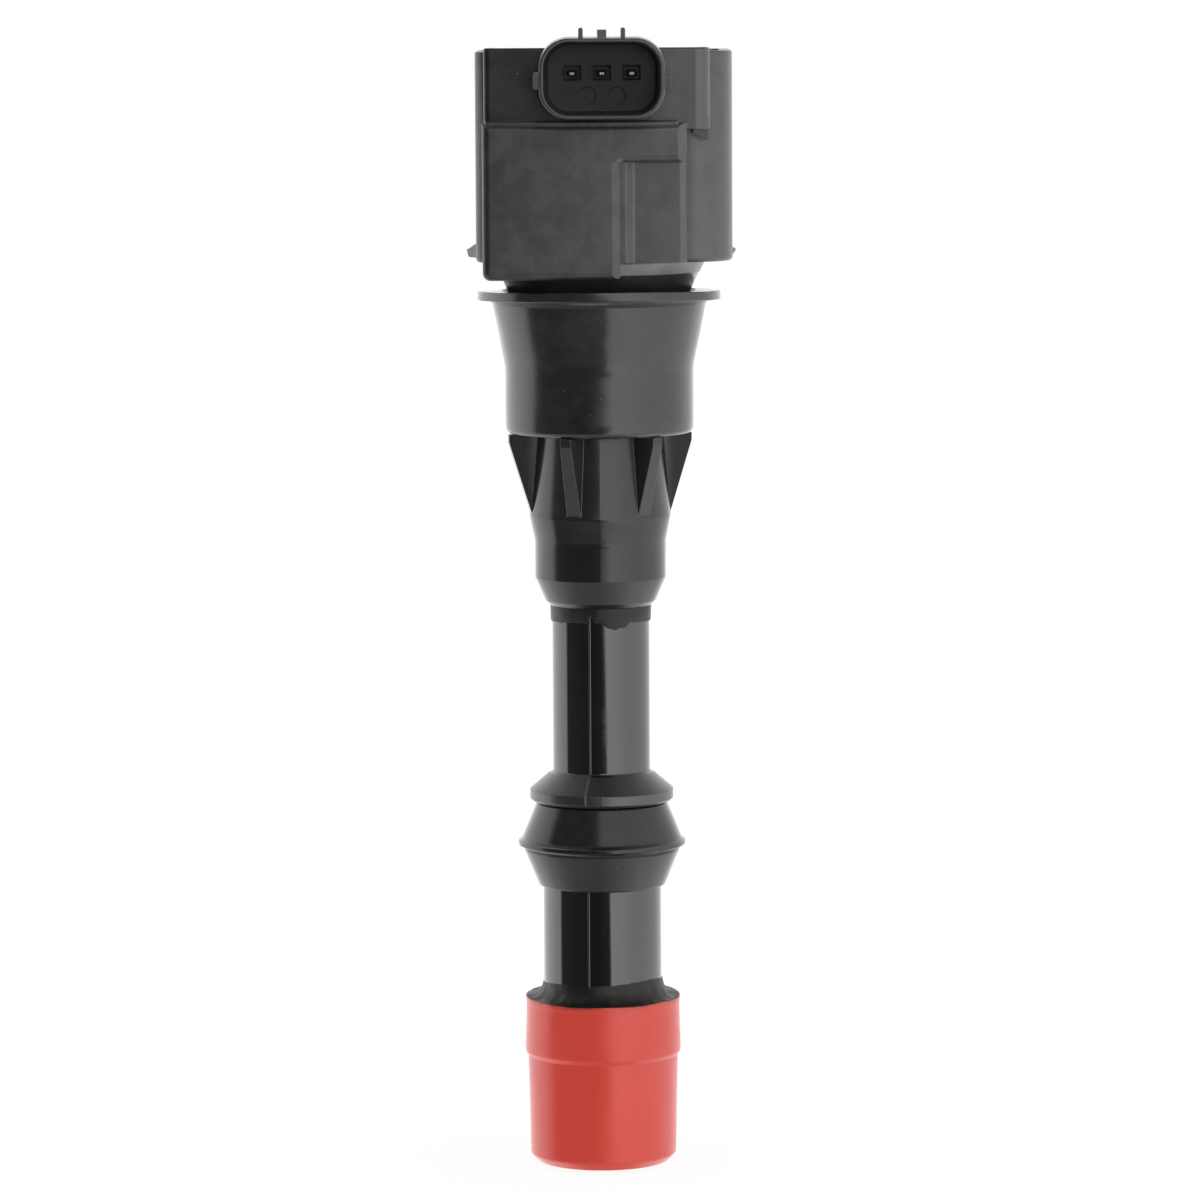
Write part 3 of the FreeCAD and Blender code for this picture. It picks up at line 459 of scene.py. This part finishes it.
def seal_dust(s, lips):
    """Scattered dust, and worn streaks near each lip, given as (height, reach)."""
    streak = s.noise(300, 4, 0.6, s.stretched((0.25, 0.25, 1.0)))
    dust = s.math("MAXIMUM", s.specks(1.2 * MM, 0.08 * MM, 0.35), s.specks(2.4 * MM, 0.15 * MM, 0.5))
    for level, reach in lips:
        worn = s.product(s.fall(s.away("Z", level), 0.0, reach), s.rise(streak, 0.46, 0.68))
        dust = s.math("MAXIMUM", dust, s.product(worn, 0.45))
    return dust


def seal_rubber(name, lips, painted_shade_heights, dark, pale, smoothest, sheen):
    """Black seal rubber: mottled, dusty near its lips, and less shiny between two given heights, as painted
    shade.
    """
    s = Shader(name)
    cloud = s.noise(60, 6, 0.6)
    mottle = s.noise(420, 4, 0.65)
    grit = s.noise(1800, 3, 0.6)
    shade = s.total(s.ramp(cloud, 0.35, 0.7, 0.0, 0.7), s.ramp(mottle, 0.35, 0.7, 0.0, 0.45))
    color = s.mix(s.product(seal_dust(s, lips), 0.6), s.mix(shade, dark, pale), DUST)
    normal = s.bump(cloud, 0.08, 0.5 * MM)
    normal = s.bump(grit, 0.12, 0.06 * MM, normal)
    # painted shade: less shine between the two heights
    painted_shade_band = s.within(s.axis("Z"), *painted_shade_heights, 0.15 * MM)
    return s.finish(color, s.vary(cloud, smoothest, smoothest + 0.09), normal,
                    Specular_IOR_Level=s.switch(painted_shade_band, sheen, 0.55 * sheen))


def boot_silicone(name):
    """Red silicone of the boot: smooth sheen, faint cloudiness, dust, and a grey film near the rim."""
    s = Shader(name)
    cloud = s.noise(45, 4, 0.5)
    grit = s.noise(1300, 3, 0.6)
    streaks = s.ramp(s.noise(110, 2, 0.5, s.stretched((1.0, 1.0, 0.3))), 0.42, 0.85, 0.0, 0.3)
    film = s.product(s.rise(s.axis("Z"), BOOT_TOP - 1.2 * MM, BOOT_TOP),
                     s.ramp(s.noise(420, 4, 0.6), 0.42, 0.6, 0.1, 0.75))
    color = s.mix(cloud, rgb(0.55, 0.043, 0.028), rgb(0.62, 0.052, 0.034))
    color = s.mix(streaks, color, rgb(0.66, 0.10, 0.085))
    color = s.mix(film, color, rgb(0.10, 0.022, 0.020))
    color = s.dusted(color, 2.0 * MM, 0.09 * MM, 0.3, 0.3, rgb(0.85, 0.55, 0.5))
    normal = s.bump(cloud, 0.06, 0.6 * MM)
    normal = s.bump(grit, 0.10, 0.05 * MM, normal)
    return s.finish(color, s.vary(cloud, 0.285, 0.34), normal, Subsurface_Weight=0.08, Subsurface_Scale=1.0,
                    Subsurface_Radius=(2.0 * MM, 0.6 * MM, 0.5 * MM), Specular_IOR_Level=0.34)


def black_sealant(name):
    """Matte black sealant: lumpy, with dull grey patches."""
    s = Shader(name)
    cloud = s.noise(220, 5, 0.6)
    lumps = s.noise(700, 3, 0.55)
    color = s.mix(s.rise(cloud, 0.35, 0.7), rgb(0.0058, 0.0052, 0.0048), rgb(0.0135, 0.012, 0.011))
    color = s.dusted(color, 1.4 * MM, 0.07 * MM, 0.3, 0.35, DUST)
    return s.finish(color, s.vary(cloud, 0.40, 0.58), s.bump(lumps, 0.25, 0.15 * MM), Specular_IOR_Level=0.22)


def plated_metal(name, color_a, color_b, roughness, brush=(1.0, 1.0, 1.0)):
    """Plated metal with fine drawing marks and slight tarnish."""
    s = Shader(name)
    marks = s.noise(1500, 3, 0.6, s.stretched(brush))
    stain = s.noise(240, 5, 0.6)
    color = s.mix(s.rise(stain, 0.4, 0.7), color_a, color_b)
    dulled = s.total(s.ramp(stain, 0.35, 0.7, roughness, roughness + 0.14), s.vary(marks, 0.0, 0.06))
    return s.finish(color, dulled, s.bump(marks, 0.15, 0.03 * MM), Metallic=1.0)


def cast_resin(name):
    """Cured potting resin: dark, nearly flat, with a slow ripple and a few small bubbles."""
    s = Shader(name)
    wave = s.noise(60, 3, 0.5)
    bubbles = s.rise(s.cells(330)["Distance"], 0.05, 0.09)
    bubbly = s.rise(s.noise(120, 2), 0.6, 0.66)
    pits = s.math("MAXIMUM", bubbles, s.math("SUBTRACT", 1.0, bubbly))
    color = s.mix(wave, rgb(0.010, 0.010, 0.011), rgb(0.026, 0.025, 0.026))
    normal = s.bump(wave, 0.5, 0.6 * MM)
    normal = s.bump(pits, 0.4, 0.2 * MM, normal)
    return s.finish(color, s.vary(wave, 0.14, 0.26), normal)


def plain_grain(name, color_a, color_b, roughness, metallic=0.0):
    """Simple grained finish for the pieces inside the head."""
    s = Shader(name)
    grain = s.noise(900, 4, 0.6)
    color = s.mix(s.rise(grain, 0.3, 0.7), color_a, color_b)
    return s.finish(color, s.vary(grain, roughness - 0.06, roughness + 0.08), s.bump(grain, 0.2, 0.05 * MM),
                    Metallic=metallic)


# Grained pieces as (dark colour, pale colour, roughness, metallic share), plated ones as (colour, tarnish,
# roughness, stretch of the drawing marks)
GRAINED = {
    "core_steel": (rgb(0.36, 0.36, 0.37), rgb(0.46, 0.46, 0.47), 0.4, 1.0),
    "magnet_ferrite": (rgb(0.03, 0.03, 0.033), rgb(0.06, 0.06, 0.062), 0.6),
    "bobbin_plastic": (rgb(0.60, 0.55, 0.43), rgb(0.68, 0.63, 0.5), 0.5),
    "copper_wire": (rgb(0.55, 0.2, 0.07), rgb(0.68, 0.28, 0.1), 0.32, 0.9),
    "package_plastic": (grey(0.02), grey(0.04), 0.5),
    "spreader_aluminium": (rgb(0.7, 0.7, 0.71), grey(0.8), 0.35, 1.0),
    "resistor_ceramic": (rgb(0.68, 0.6, 0.46), rgb(0.76, 0.7, 0.56), 0.7),
}
PLATED = {
    "tinned_brass": (rgb(0.20, 0.19, 0.17), rgb(0.12, 0.115, 0.105), 0.34, (1.0, 0.1, 1.0)),
    "zinc_steel": (rgb(0.62, 0.62, 0.60), rgb(0.48, 0.48, 0.46), 0.3, (1.0, 1.0, 0.1)),
    "nickel_brass": (rgb(0.74, 0.71, 0.62), rgb(0.6, 0.56, 0.46), 0.29),
    "spring_steel": (rgb(0.6, 0.6, 0.61), rgb(0.45, 0.45, 0.46), 0.29),
}


def cup_rubber():
    """The well seal's rubber, dusty at its flange and foot, with painted shade (less shine) just under the
    flange.
    """
    return seal_rubber("cup_rubber", ((CUP_TOP - 1.5 * MM, 0.3 * MM), (CUP_FOOT, 0.8 * MM)),
                       # heights of the painted shade just under the flange
                       (CUP_TOP - 2.1 * MM, CUP_TOP - 1.4 * MM),
                       rgb(0.0085, 0.009, 0.0095), rgb(0.020, 0.021, 0.022), 0.17, 0.38)


def lip_rubber():
    """The middle seal's rubber, dusty at its lip, with painted shade (less shine) just under it."""
    return seal_rubber("lip_rubber", ((LIP_Z - 0.4 * MM, 0.25 * MM), (LIP_Z + 0.6 * MM, 0.15 * MM)),
                       # heights of the painted shade just under the lip
                       (LIP_Z - 0.9 * MM, LIP_Z - 0.5 * MM),
                       rgb(0.0055, 0.0058, 0.0061), rgb(0.0135, 0.014, 0.0145), 0.15, 0.28)


def make_materials():
    """One material for each slot of the record."""
    makers = {"case_plastic": case_plastic, "socket_plastic": socket_plastic, "tube_plastic": tube_plastic,
              "boot_silicone": boot_silicone, "black_sealant": black_sealant, "potting_resin": cast_resin}
    materials = {name: make(name) for name, make in makers.items()}
    materials.update((name, plain_grain(name, *looks)) for name, looks in GRAINED.items())
    materials.update((name, plated_metal(name, *looks)) for name, looks in PLATED.items())
    materials["seal_rubber"] = cup_rubber()
    return materials


def paint(piece, material):
    """Gives a piece one material."""
    piece.data.materials.clear()
    piece.data.materials.append(material)


MATERIALS = make_materials()
SLOTS = {part["node"]: part["material_slot"] for part in RECORD["subparts"]}
for node_name, slot_name in SLOTS.items():
    paint(NODES[node_name], MATERIALS[slot_name])


# ---------------------------------------------------------------- rubber, sealant and wire pieces
SEGMENTS = 288            # round a turned piece
STEP = 0.55 * MM          # longest straight step along its outline
SHARP = math.radians(38)  # corners sharper than this keep an edge
WIRE_SEGMENTS = 12        # round the spring's wire
TURN_SEGMENTS = 40        # along each turn of the spring
SAME_POINT = 1e-7         # closer points are one


def section(node):
    """Closed (radius, height) outline of a turned CAD node, cut at the front and listed in order."""
    cut = bmesh.new()
    cut.from_mesh(NODES[node].data)
    bmesh.ops.remove_doubles(cut, verts=cut.verts, dist=SAME_POINT)
    everything = cut.verts[:] + cut.edges[:] + cut.faces[:]
    found = bmesh.ops.bisect_plane(cut, geom=everything, dist=SAME_POINT, plane_co=(0, 0, 0),
                                   plane_no=(1, 0, 0))
    links = {}
    for edge in found["geom_cut"]:
        if isinstance(edge, bmesh.types.BMEdge) and all(v.co.y < 0 for v in edge.verts):
            for here, there in (edge.verts, reversed(edge.verts)):
                links.setdefault(here, []).append(there)
    start = min(links, key=lambda v: (v.co.z, v.co.y))
    chain, before = [start], None
    while True:
        onward = [v for v in links[chain[-1]] if v != before]
        if not onward or (len(chain) > 2 and onward[0] == start):
            break
        before = chain[-1]
        chain.append(onward[0])
    points = [(-v.co.y, v.co.z) for v in chain]
    cut.free()
    return points


def spaced(points):
    """The same closed outline with long straights divided, as (radius, height, is a sharp corner)."""
    result = []
    for i, (r, z) in enumerate(points):
        before, after = points[i - 1], points[(i + 1) % len(points)]
        turn = math.atan2(after[1] - z, after[0] - r) - math.atan2(z - before[1], r - before[0])
        turn = abs((turn + math.pi) % (2 * math.pi) - math.pi)
        result.append((r, z, turn > SHARP))
        count = int(math.dist((r, z), after) / STEP) + 1
        for k in range(1, count):
            result.append((r + (after[0] - r) * k / count, z + (after[1] - z) * k / count, False))
    return result


def bridge(mesh, ring, following):
    """Quads between two rings with the same number of points."""
    for j in range(len(ring)):
        k = (j + 1) % len(ring)
        mesh.faces.new((ring[j], ring[k], following[k], following[j])).smooth = True


def add_piece(name, node, mesh, material):
    """Turns a mesh into an object that rides on the coil and takes a CAD node's place."""
    bmesh.ops.recalc_face_normals(mesh, faces=mesh.faces)
    data = bpy.data.meshes.new(name)
    mesh.to_mesh(data)
    mesh.free()
    piece = bpy.data.objects.new(name, data)
    bpy.context.scene.collection.objects.link(piece)
    paint(piece, material)
    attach(piece, "coil")
    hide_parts(node)
    return piece


def turned(name, node, points, material, warp):
    """Turns a closed outline into a piece. warp(radius, height, angle from the front) places each point."""
    outline = spaced(points)
    mesh = bmesh.new()
    rings = []
    for r, z, _ in outline:
        ring = []
        for j in range(SEGMENTS):
            angle = 2 * math.pi * j / SEGMENTS
            radius, height = warp(r, z, angle)
            ring.append(mesh.verts.new((radius * math.sin(angle), -radius * math.cos(angle), height)))
        rings.append(ring)
    for i, ring in enumerate(rings):
        bridge(mesh, ring, rings[(i + 1) % len(rings)])
    mesh.edges.ensure_lookup_table()
    for (_, _, corner), ring in zip(outline, rings):
        if corner:
            for j in range(SEGMENTS):
                mesh.edges.get((ring[j], ring[(j + 1) % SEGMENTS])).smooth = False
    return add_piece(name, node, mesh, material)


def ripple(r, z, angle, size, amount):
    """Smooth unevenness of a moulded surface, as a distance, from noise with features of a given size."""
    place = Vector((r * math.sin(angle), -r * math.cos(angle), z)) / size
    return noise.noise(place) * amount


def ragged(angle, layer, count, amount):
    """Unevenness round an edge, as a distance. The count sets how many bumps it has, the layer which ones."""
    return noise.noise(Vector((math.sin(angle), math.cos(angle), layer)) * count) * amount


def bell(angle, degrees, width):
    """1 at an angle from the front, falling smoothly to 0 a width away, both in degrees."""
    away = abs((math.degrees(angle) - degrees + 180) % 360 - 180) / width
    return 0.0 if away >= 1 else (1 - away * away) ** 2


def smooth(value, low, high):
    """0 below low, 1 above high and smooth between."""
    share = min(max((value - low) / (high - low), 0.0), 1.0)
    return share * share * (3 - 2 * share)


def front_sag(angle):
    """How far the boot's rim and the sealant on it have sunk, most at the front."""
    return 0.35 * MM * math.cos(angle / 2) ** 4


def soft_well_seal():
    """Rubber cup. Its thin flange has relaxed: a little high at the front and drooping at the back."""
    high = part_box("well_seal")[1]
    flange_foot, flange_body = high.z - 2.4 * MM, high.z - 1.4 * MM
    flange_root, flange_free = high.x - 3.9 * MM, high.x - 2.1 * MM

    def warp(r, z, angle):
        droop = (0.6 * math.cos(angle) - 0.15) * MM
        waves = (0.07 * math.sin(3 * angle + 0.6) + 0.10 * bell(angle, 78, 16)) * MM
        lift = droop + waves + ripple(r, 0, angle, 4 * MM, 0.06 * MM)
        share = smooth(z, flange_foot, flange_body) * smooth(r, flange_root, flange_free)
        return r + ripple(r, z, angle, 6 * MM, 0.05 * MM), z + lift * share

    turned("soft_well_seal", "well_seal", section("well_seal"), MATERIALS["seal_rubber"], warp)


def soft_middle_seal():
    """Double-cone seal with a thin, slightly wavy lip."""
    lip_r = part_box("middle_seal")[1].x

    def warp(r, z, angle):
        lip = smooth(r, lip_r - 1.1 * MM, lip_r)
        wave = (0.05 * math.sin(2 * angle + 1.0) + 0.035 * math.sin(5 * angle)) * MM
        return r + ripple(r, z, angle, 5 * MM, 0.04 * MM), z + lip * wave

    turned("soft_middle_seal", "middle_seal", section("middle_seal"), lip_rubber(), warp)


def soft_plug_boot():
    """Silicone boot with an uneven trimmed rim and a softly wavy collar step."""
    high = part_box("plug_boot")[1]
    collar, collar_soft = 18.6 * MM, 1.6 * MM

    def warp(r, z, angle):
        rim = smooth(z, high.z - 0.9 * MM, high.z) * smooth(r, high.x - 1.2 * MM, high.x - 0.5 * MM)
        drop = (0.05 * math.sin(3 * angle) + 0.04 * math.cos(7 * angle)) * MM
        step = bell((z - collar) / collar_soft, 0, math.degrees(1.0))
        tilt = 0.12 * math.cos(angle) * step * MM
        sag = front_sag(angle) * smooth(z, high.z - 1.6 * MM, high.z)
        return r + ripple(r, z, angle, 7 * MM, 0.05 * MM), z + rim * drop + tilt - sag

    turned("soft_plug_boot", "plug_boot", section("plug_boot"), MATERIALS["boot_silicone"], warp)


def squeezed_joint_sealant():
    """Film of sealant below the case's collar, with a ragged edge, a notch and two drips side by side."""
    low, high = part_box("joint_sealant")
    inner, thin, thick = high.x - 0.30 * MM, high.x - 0.07 * MM, high.x + 0.02 * MM
    outline = [(inner, low.z), (thin - 0.10 * MM, low.z), (thin, low.z + 0.3 * MM), (thick, high.z),
               (inner, high.z)]

    def warp(r, z, angle):
        drips = 0.9 * bell(angle, 11, 13) + 0.9 * bell(angle, 24, 14)
        notch = bell(angle, -11, 4)
        edge = (0.45 - 0.3 * math.cos(angle) + drips - notch) * MM + ragged(angle, 0, 9, 0.16 * MM)
        share = (high.z - z) / (high.z - low.z)
        return r + ripple(r, z, angle, 1.2 * MM, 0.03 * MM), z - edge * share

    turned("squeezed_joint_sealant", "joint_sealant", outline, MATERIALS["black_sealant"], warp)


def bead_outline(low, high, tube):
    """Section of the sealant on the boot: it fills the boot's recess, laps the rim and climbs the tube."""
    inside, recess = tube - 0.15 * MM, high.x - 0.05 * MM
    lapped = ((0.16, 0.03), (0.12, 0.12), (-0.5, 0.22), (-1.4, 0.36))
    climbing = ((0.75, 0.80), (0.35, 1.5), (0.16, 2.4))
    points = [(inside, low.z), (recess, low.z), (recess, BOOT_TOP + 0.02 * MM)]
    points += [(high.x + out * MM, BOOT_TOP + up * MM) for out, up in lapped]
    points += [(tube + out * MM, BOOT_TOP + up * MM) for out, up in climbing]
    return points + [(tube + 0.05 * MM, high.z), (inside, high.z)]


def spread_boot_sealant():
    """Bead of sealant over the boot's top, lumpy, with a ragged edge where it climbs the tube."""
    low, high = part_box("boot_sealant")
    tube = high.x - 2.73 * MM

    def warp(r, z, angle):
        climb = (0.45 * bell(angle, 48, 45) - 0.55 * bell(angle, -92, 60) - 0.1) * MM
        climb = (climb + ragged(angle, 3, 7, 0.16 * MM)) * smooth(z, BOOT_TOP + 0.3 * MM, high.z)
        exposed = smooth(z, BOOT_TOP + 0.05 * MM, BOOT_TOP + 0.3 * MM) * smooth(high.z - z, 0.0, 0.8 * MM)
        lump = ripple(r, z, angle, 1.6 * MM, 0.13 * MM) + ripple(r, z, angle, 0.7 * MM, 0.06 * MM)
        out = ragged(angle, 7, 11, 0.10 * MM) if r > high.x else 0.0
        sag = front_sag(angle) * smooth(r, tube + 0.3 * MM, high.x) * smooth(z, low.z, BOOT_TOP)
        return r + lump * exposed * 0.4 + out, z + climb + lump * exposed - sag

    outline = bead_outline(low, high, tube)
    turned("spread_boot_sealant", "boot_sealant", outline, MATERIALS["black_sealant"], warp)


def wire_height(turn, turns, bottom, top, close):
    """Height of the wire's centre after some turns: one flat coil at each end and an even pitch between."""
    if turn < 1:
        return bottom + close * turn
    if turn > turns - 1:
        return top - close * (turns - turn)
    return bottom + close + (turn - 1) * (top - bottom - 2 * close) / (turns - 2)


def wound_spring():
    """Compression spring as a swept wire with flat, closed ends."""
    low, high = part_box("contact_spring")
    wire, pitch = 0.35 * MM, 2.6 * MM
    bottom, top, close = low.z + wire, high.z - wire, 2 * wire
    turns = (top - bottom - 2 * close) / pitch + 2
    upward = Vector((0, 0, 1))
    mesh = bmesh.new()
    rings = []
    for i in range(int(turns * TURN_SEGMENTS) + 1):
        turn = i / TURN_SEGMENTS
        angle = 2 * math.pi * turn
        out = Vector((math.sin(angle), -math.cos(angle), 0))
        centre = out * (high.x - wire) + upward * wire_height(turn, turns, bottom, top, close)
        ring = []
        for j in range(WIRE_SEGMENTS):
            bend = 2 * math.pi * j / WIRE_SEGMENTS
            ring.append(mesh.verts.new(centre + (out * math.cos(bend) + upward * math.sin(bend)) * wire))
        rings.append(ring)
    for ring, following in zip(rings, rings[1:]):
        bridge(mesh, ring, following)
    mesh.faces.new(rings[0])
    mesh.faces.new(rings[-1])
    piece = add_piece("wound_spring", "contact_spring", mesh, MATERIALS["spring_steel"])
    length, travel = high.z - low.z, max(abs(limit) for limit in JOINT_RANGE)
    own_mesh(piece)


soft_well_seal()
soft_middle_seal()
soft_plug_boot()
squeezed_joint_sealant()
spread_boot_sealant()
wound_spring()


# ---------------------------------------------------------------- floor, light and camera
def floor():
    """A pale table, bright enough to merge with the backdrop. Reflections look past it at the studio's cards,
    and a camera under the table looks through it.
    """
    bpy.ops.mesh.primitive_plane_add(size=FLOOR_SIZE, location=(0, 0, FLOOR_Z))
    plane = bpy.context.object
    plane.name = "floor"
    s = Shader("floor_white")
    color = s.mix(s.noise(3, 2), grey(0.085), grey(0.095))
    material = s.finish(color, 0.9, Emission_Color=grey(1.0), Emission_Strength=FLOOR_GLOW,
                        Specular_IOR_Level=0.0)
    s.one_sided()
    paint(plane, material)
    plane.visible_glossy = False


class Studio(Nodes):
    """World light by compass bearing, which is 0 towards the camera and positive to its right."""

    def __init__(self):
        world = bpy.data.worlds.new("studio")
        bpy.context.scene.world = world
        world.use_nodes = True
        super().__init__(world.node_tree)
        direction = self.new("ShaderNodeTexCoord").outputs["Generated"]
        split = self.new("ShaderNodeSeparateXYZ", Vector=direction).outputs
        self.up = split["Z"]
        bearing = self.math("ARCTAN2", split["X"], self.product(split["Y"], -1.0))
        self.turn = self.total(self.math("DIVIDE", bearing, 2 * math.pi), 0.5)
        self.leaning_turn = self.total(self.turn, self.lean())

    def lean(self):
        """How far the cards are turned at a ray's bearing and height, as a share of the whole circle."""
        height = self.product(self.math("ARCSINE", self.up), 180 / math.pi)
        returning = self.math("MAXIMUM", height, self.math("SUBTRACT", 2 * LEAN_TURNS_AT, height))
        height = self.math("MINIMUM", returning, self.math("MAXIMUM", height, -LEAN_LEVEL))
        height = self.math("MINIMUM", height, LEAN_TOP)
        start, end = (degrees / 360 + 0.5 for degrees in LEAN_BEARINGS)
        share = self.math("DIVIDE", self.math("SUBTRACT", self.turn, start), end - start)
        share = self.math("MINIMUM", self.math("MAXIMUM", share, 0.0), 1.0)
        return self.product(self.total(height, LEAN_LEVEL), LEAN / 360, share)

    def plain(self, radiance, color=grey(1.0)):
        """A background of one radiance, or of a colour times it."""
        return self.new("ShaderNodeBackground", Color=color, Strength=radiance).outputs[0]

    def cards(self, levels, turn):
        """A background whose radiance follows (degrees, radiance) stops."""
        stops = self.new("ShaderNodeValToRGB", Fac=turn)
        peak = max(value for _, value in levels)
        for i, (degrees, value) in enumerate(levels):
            place = degrees / 360 + 0.5
            stop = stops.color_ramp.elements[i] if i < 2 else stops.color_ramp.elements.new(place)
            stop.position = place
            stop.color = grey(value / peak)
        return self.plain(peak, stops.outputs[0])

    def height(self, start, end):
        """A share that goes from 0 to 1 as a ray's height over the horizon goes from start to end."""
        low, high = math.sin(math.radians(start)), math.sin(math.radians(end))
        return self.new("ShaderNodeMapRange", Value=self.up, From_Min=low, From_Max=high).outputs[0]

    def for_rays(self, kind, otherwise, shader):
        """One shader for rays of one kind, another otherwise."""
        return self.blend(self.new("ShaderNodeLightPath").outputs[kind], otherwise, shader)


def studio_light():
    """White to the camera. Reflections see a dark card at the front left and bright ones elsewhere, softer
    cards further down, and dim plain light far below and overhead. Diffuse surfaces get even, soft light.
    """
    studio = Studio()
    seen = studio.cards(REFLECTED, studio.leaning_turn)
    seen = studio.blend(studio.height(*LOW_CARDS_AT), seen, studio.cards(REFLECTED_LOW, studio.turn))
    seen = studio.blend(studio.height(*UNDER_AT), seen, studio.plain(UNDER_LEVEL))
    seen = studio.blend(studio.height(*OVERHEAD_AT), seen, studio.plain(OVERHEAD_LEVEL))
    light = studio.for_rays("Is Glossy Ray", studio.cards(DIFFUSE, studio.turn), seen)
    light = studio.for_rays("Is Camera Ray", light, studio.plain(BACKDROP_LEVEL))
    studio.new("ShaderNodeOutputWorld", Surface=light)


def camera():
    """A long lens in front of the socket, a little above, and turned very slightly."""
    data = bpy.data.cameras.new("camera")
    data.lens = CAMERA_LENS
    data.sensor_width = CAMERA_SENSOR
    eye = bpy.data.objects.new("camera", data)
    bpy.context.scene.collection.objects.link(eye)
    eye.location = CAMERA_TARGET + Vector((0, -math.cos(CAMERA_RISE), math.sin(CAMERA_RISE))) * CAMERA_REACH
    aim = (CAMERA_TARGET - eye.location).to_track_quat("-Z", "Y")
    eye.rotation_mode = "QUATERNION"
    eye.rotation_quaternion = aim @ Quaternion((0, 0, 1), CAMERA_ROLL)
    bpy.context.scene.camera = eye


floor()
studio_light()
camera()
bpy.context.scene.view_settings.view_transform = "Standard"
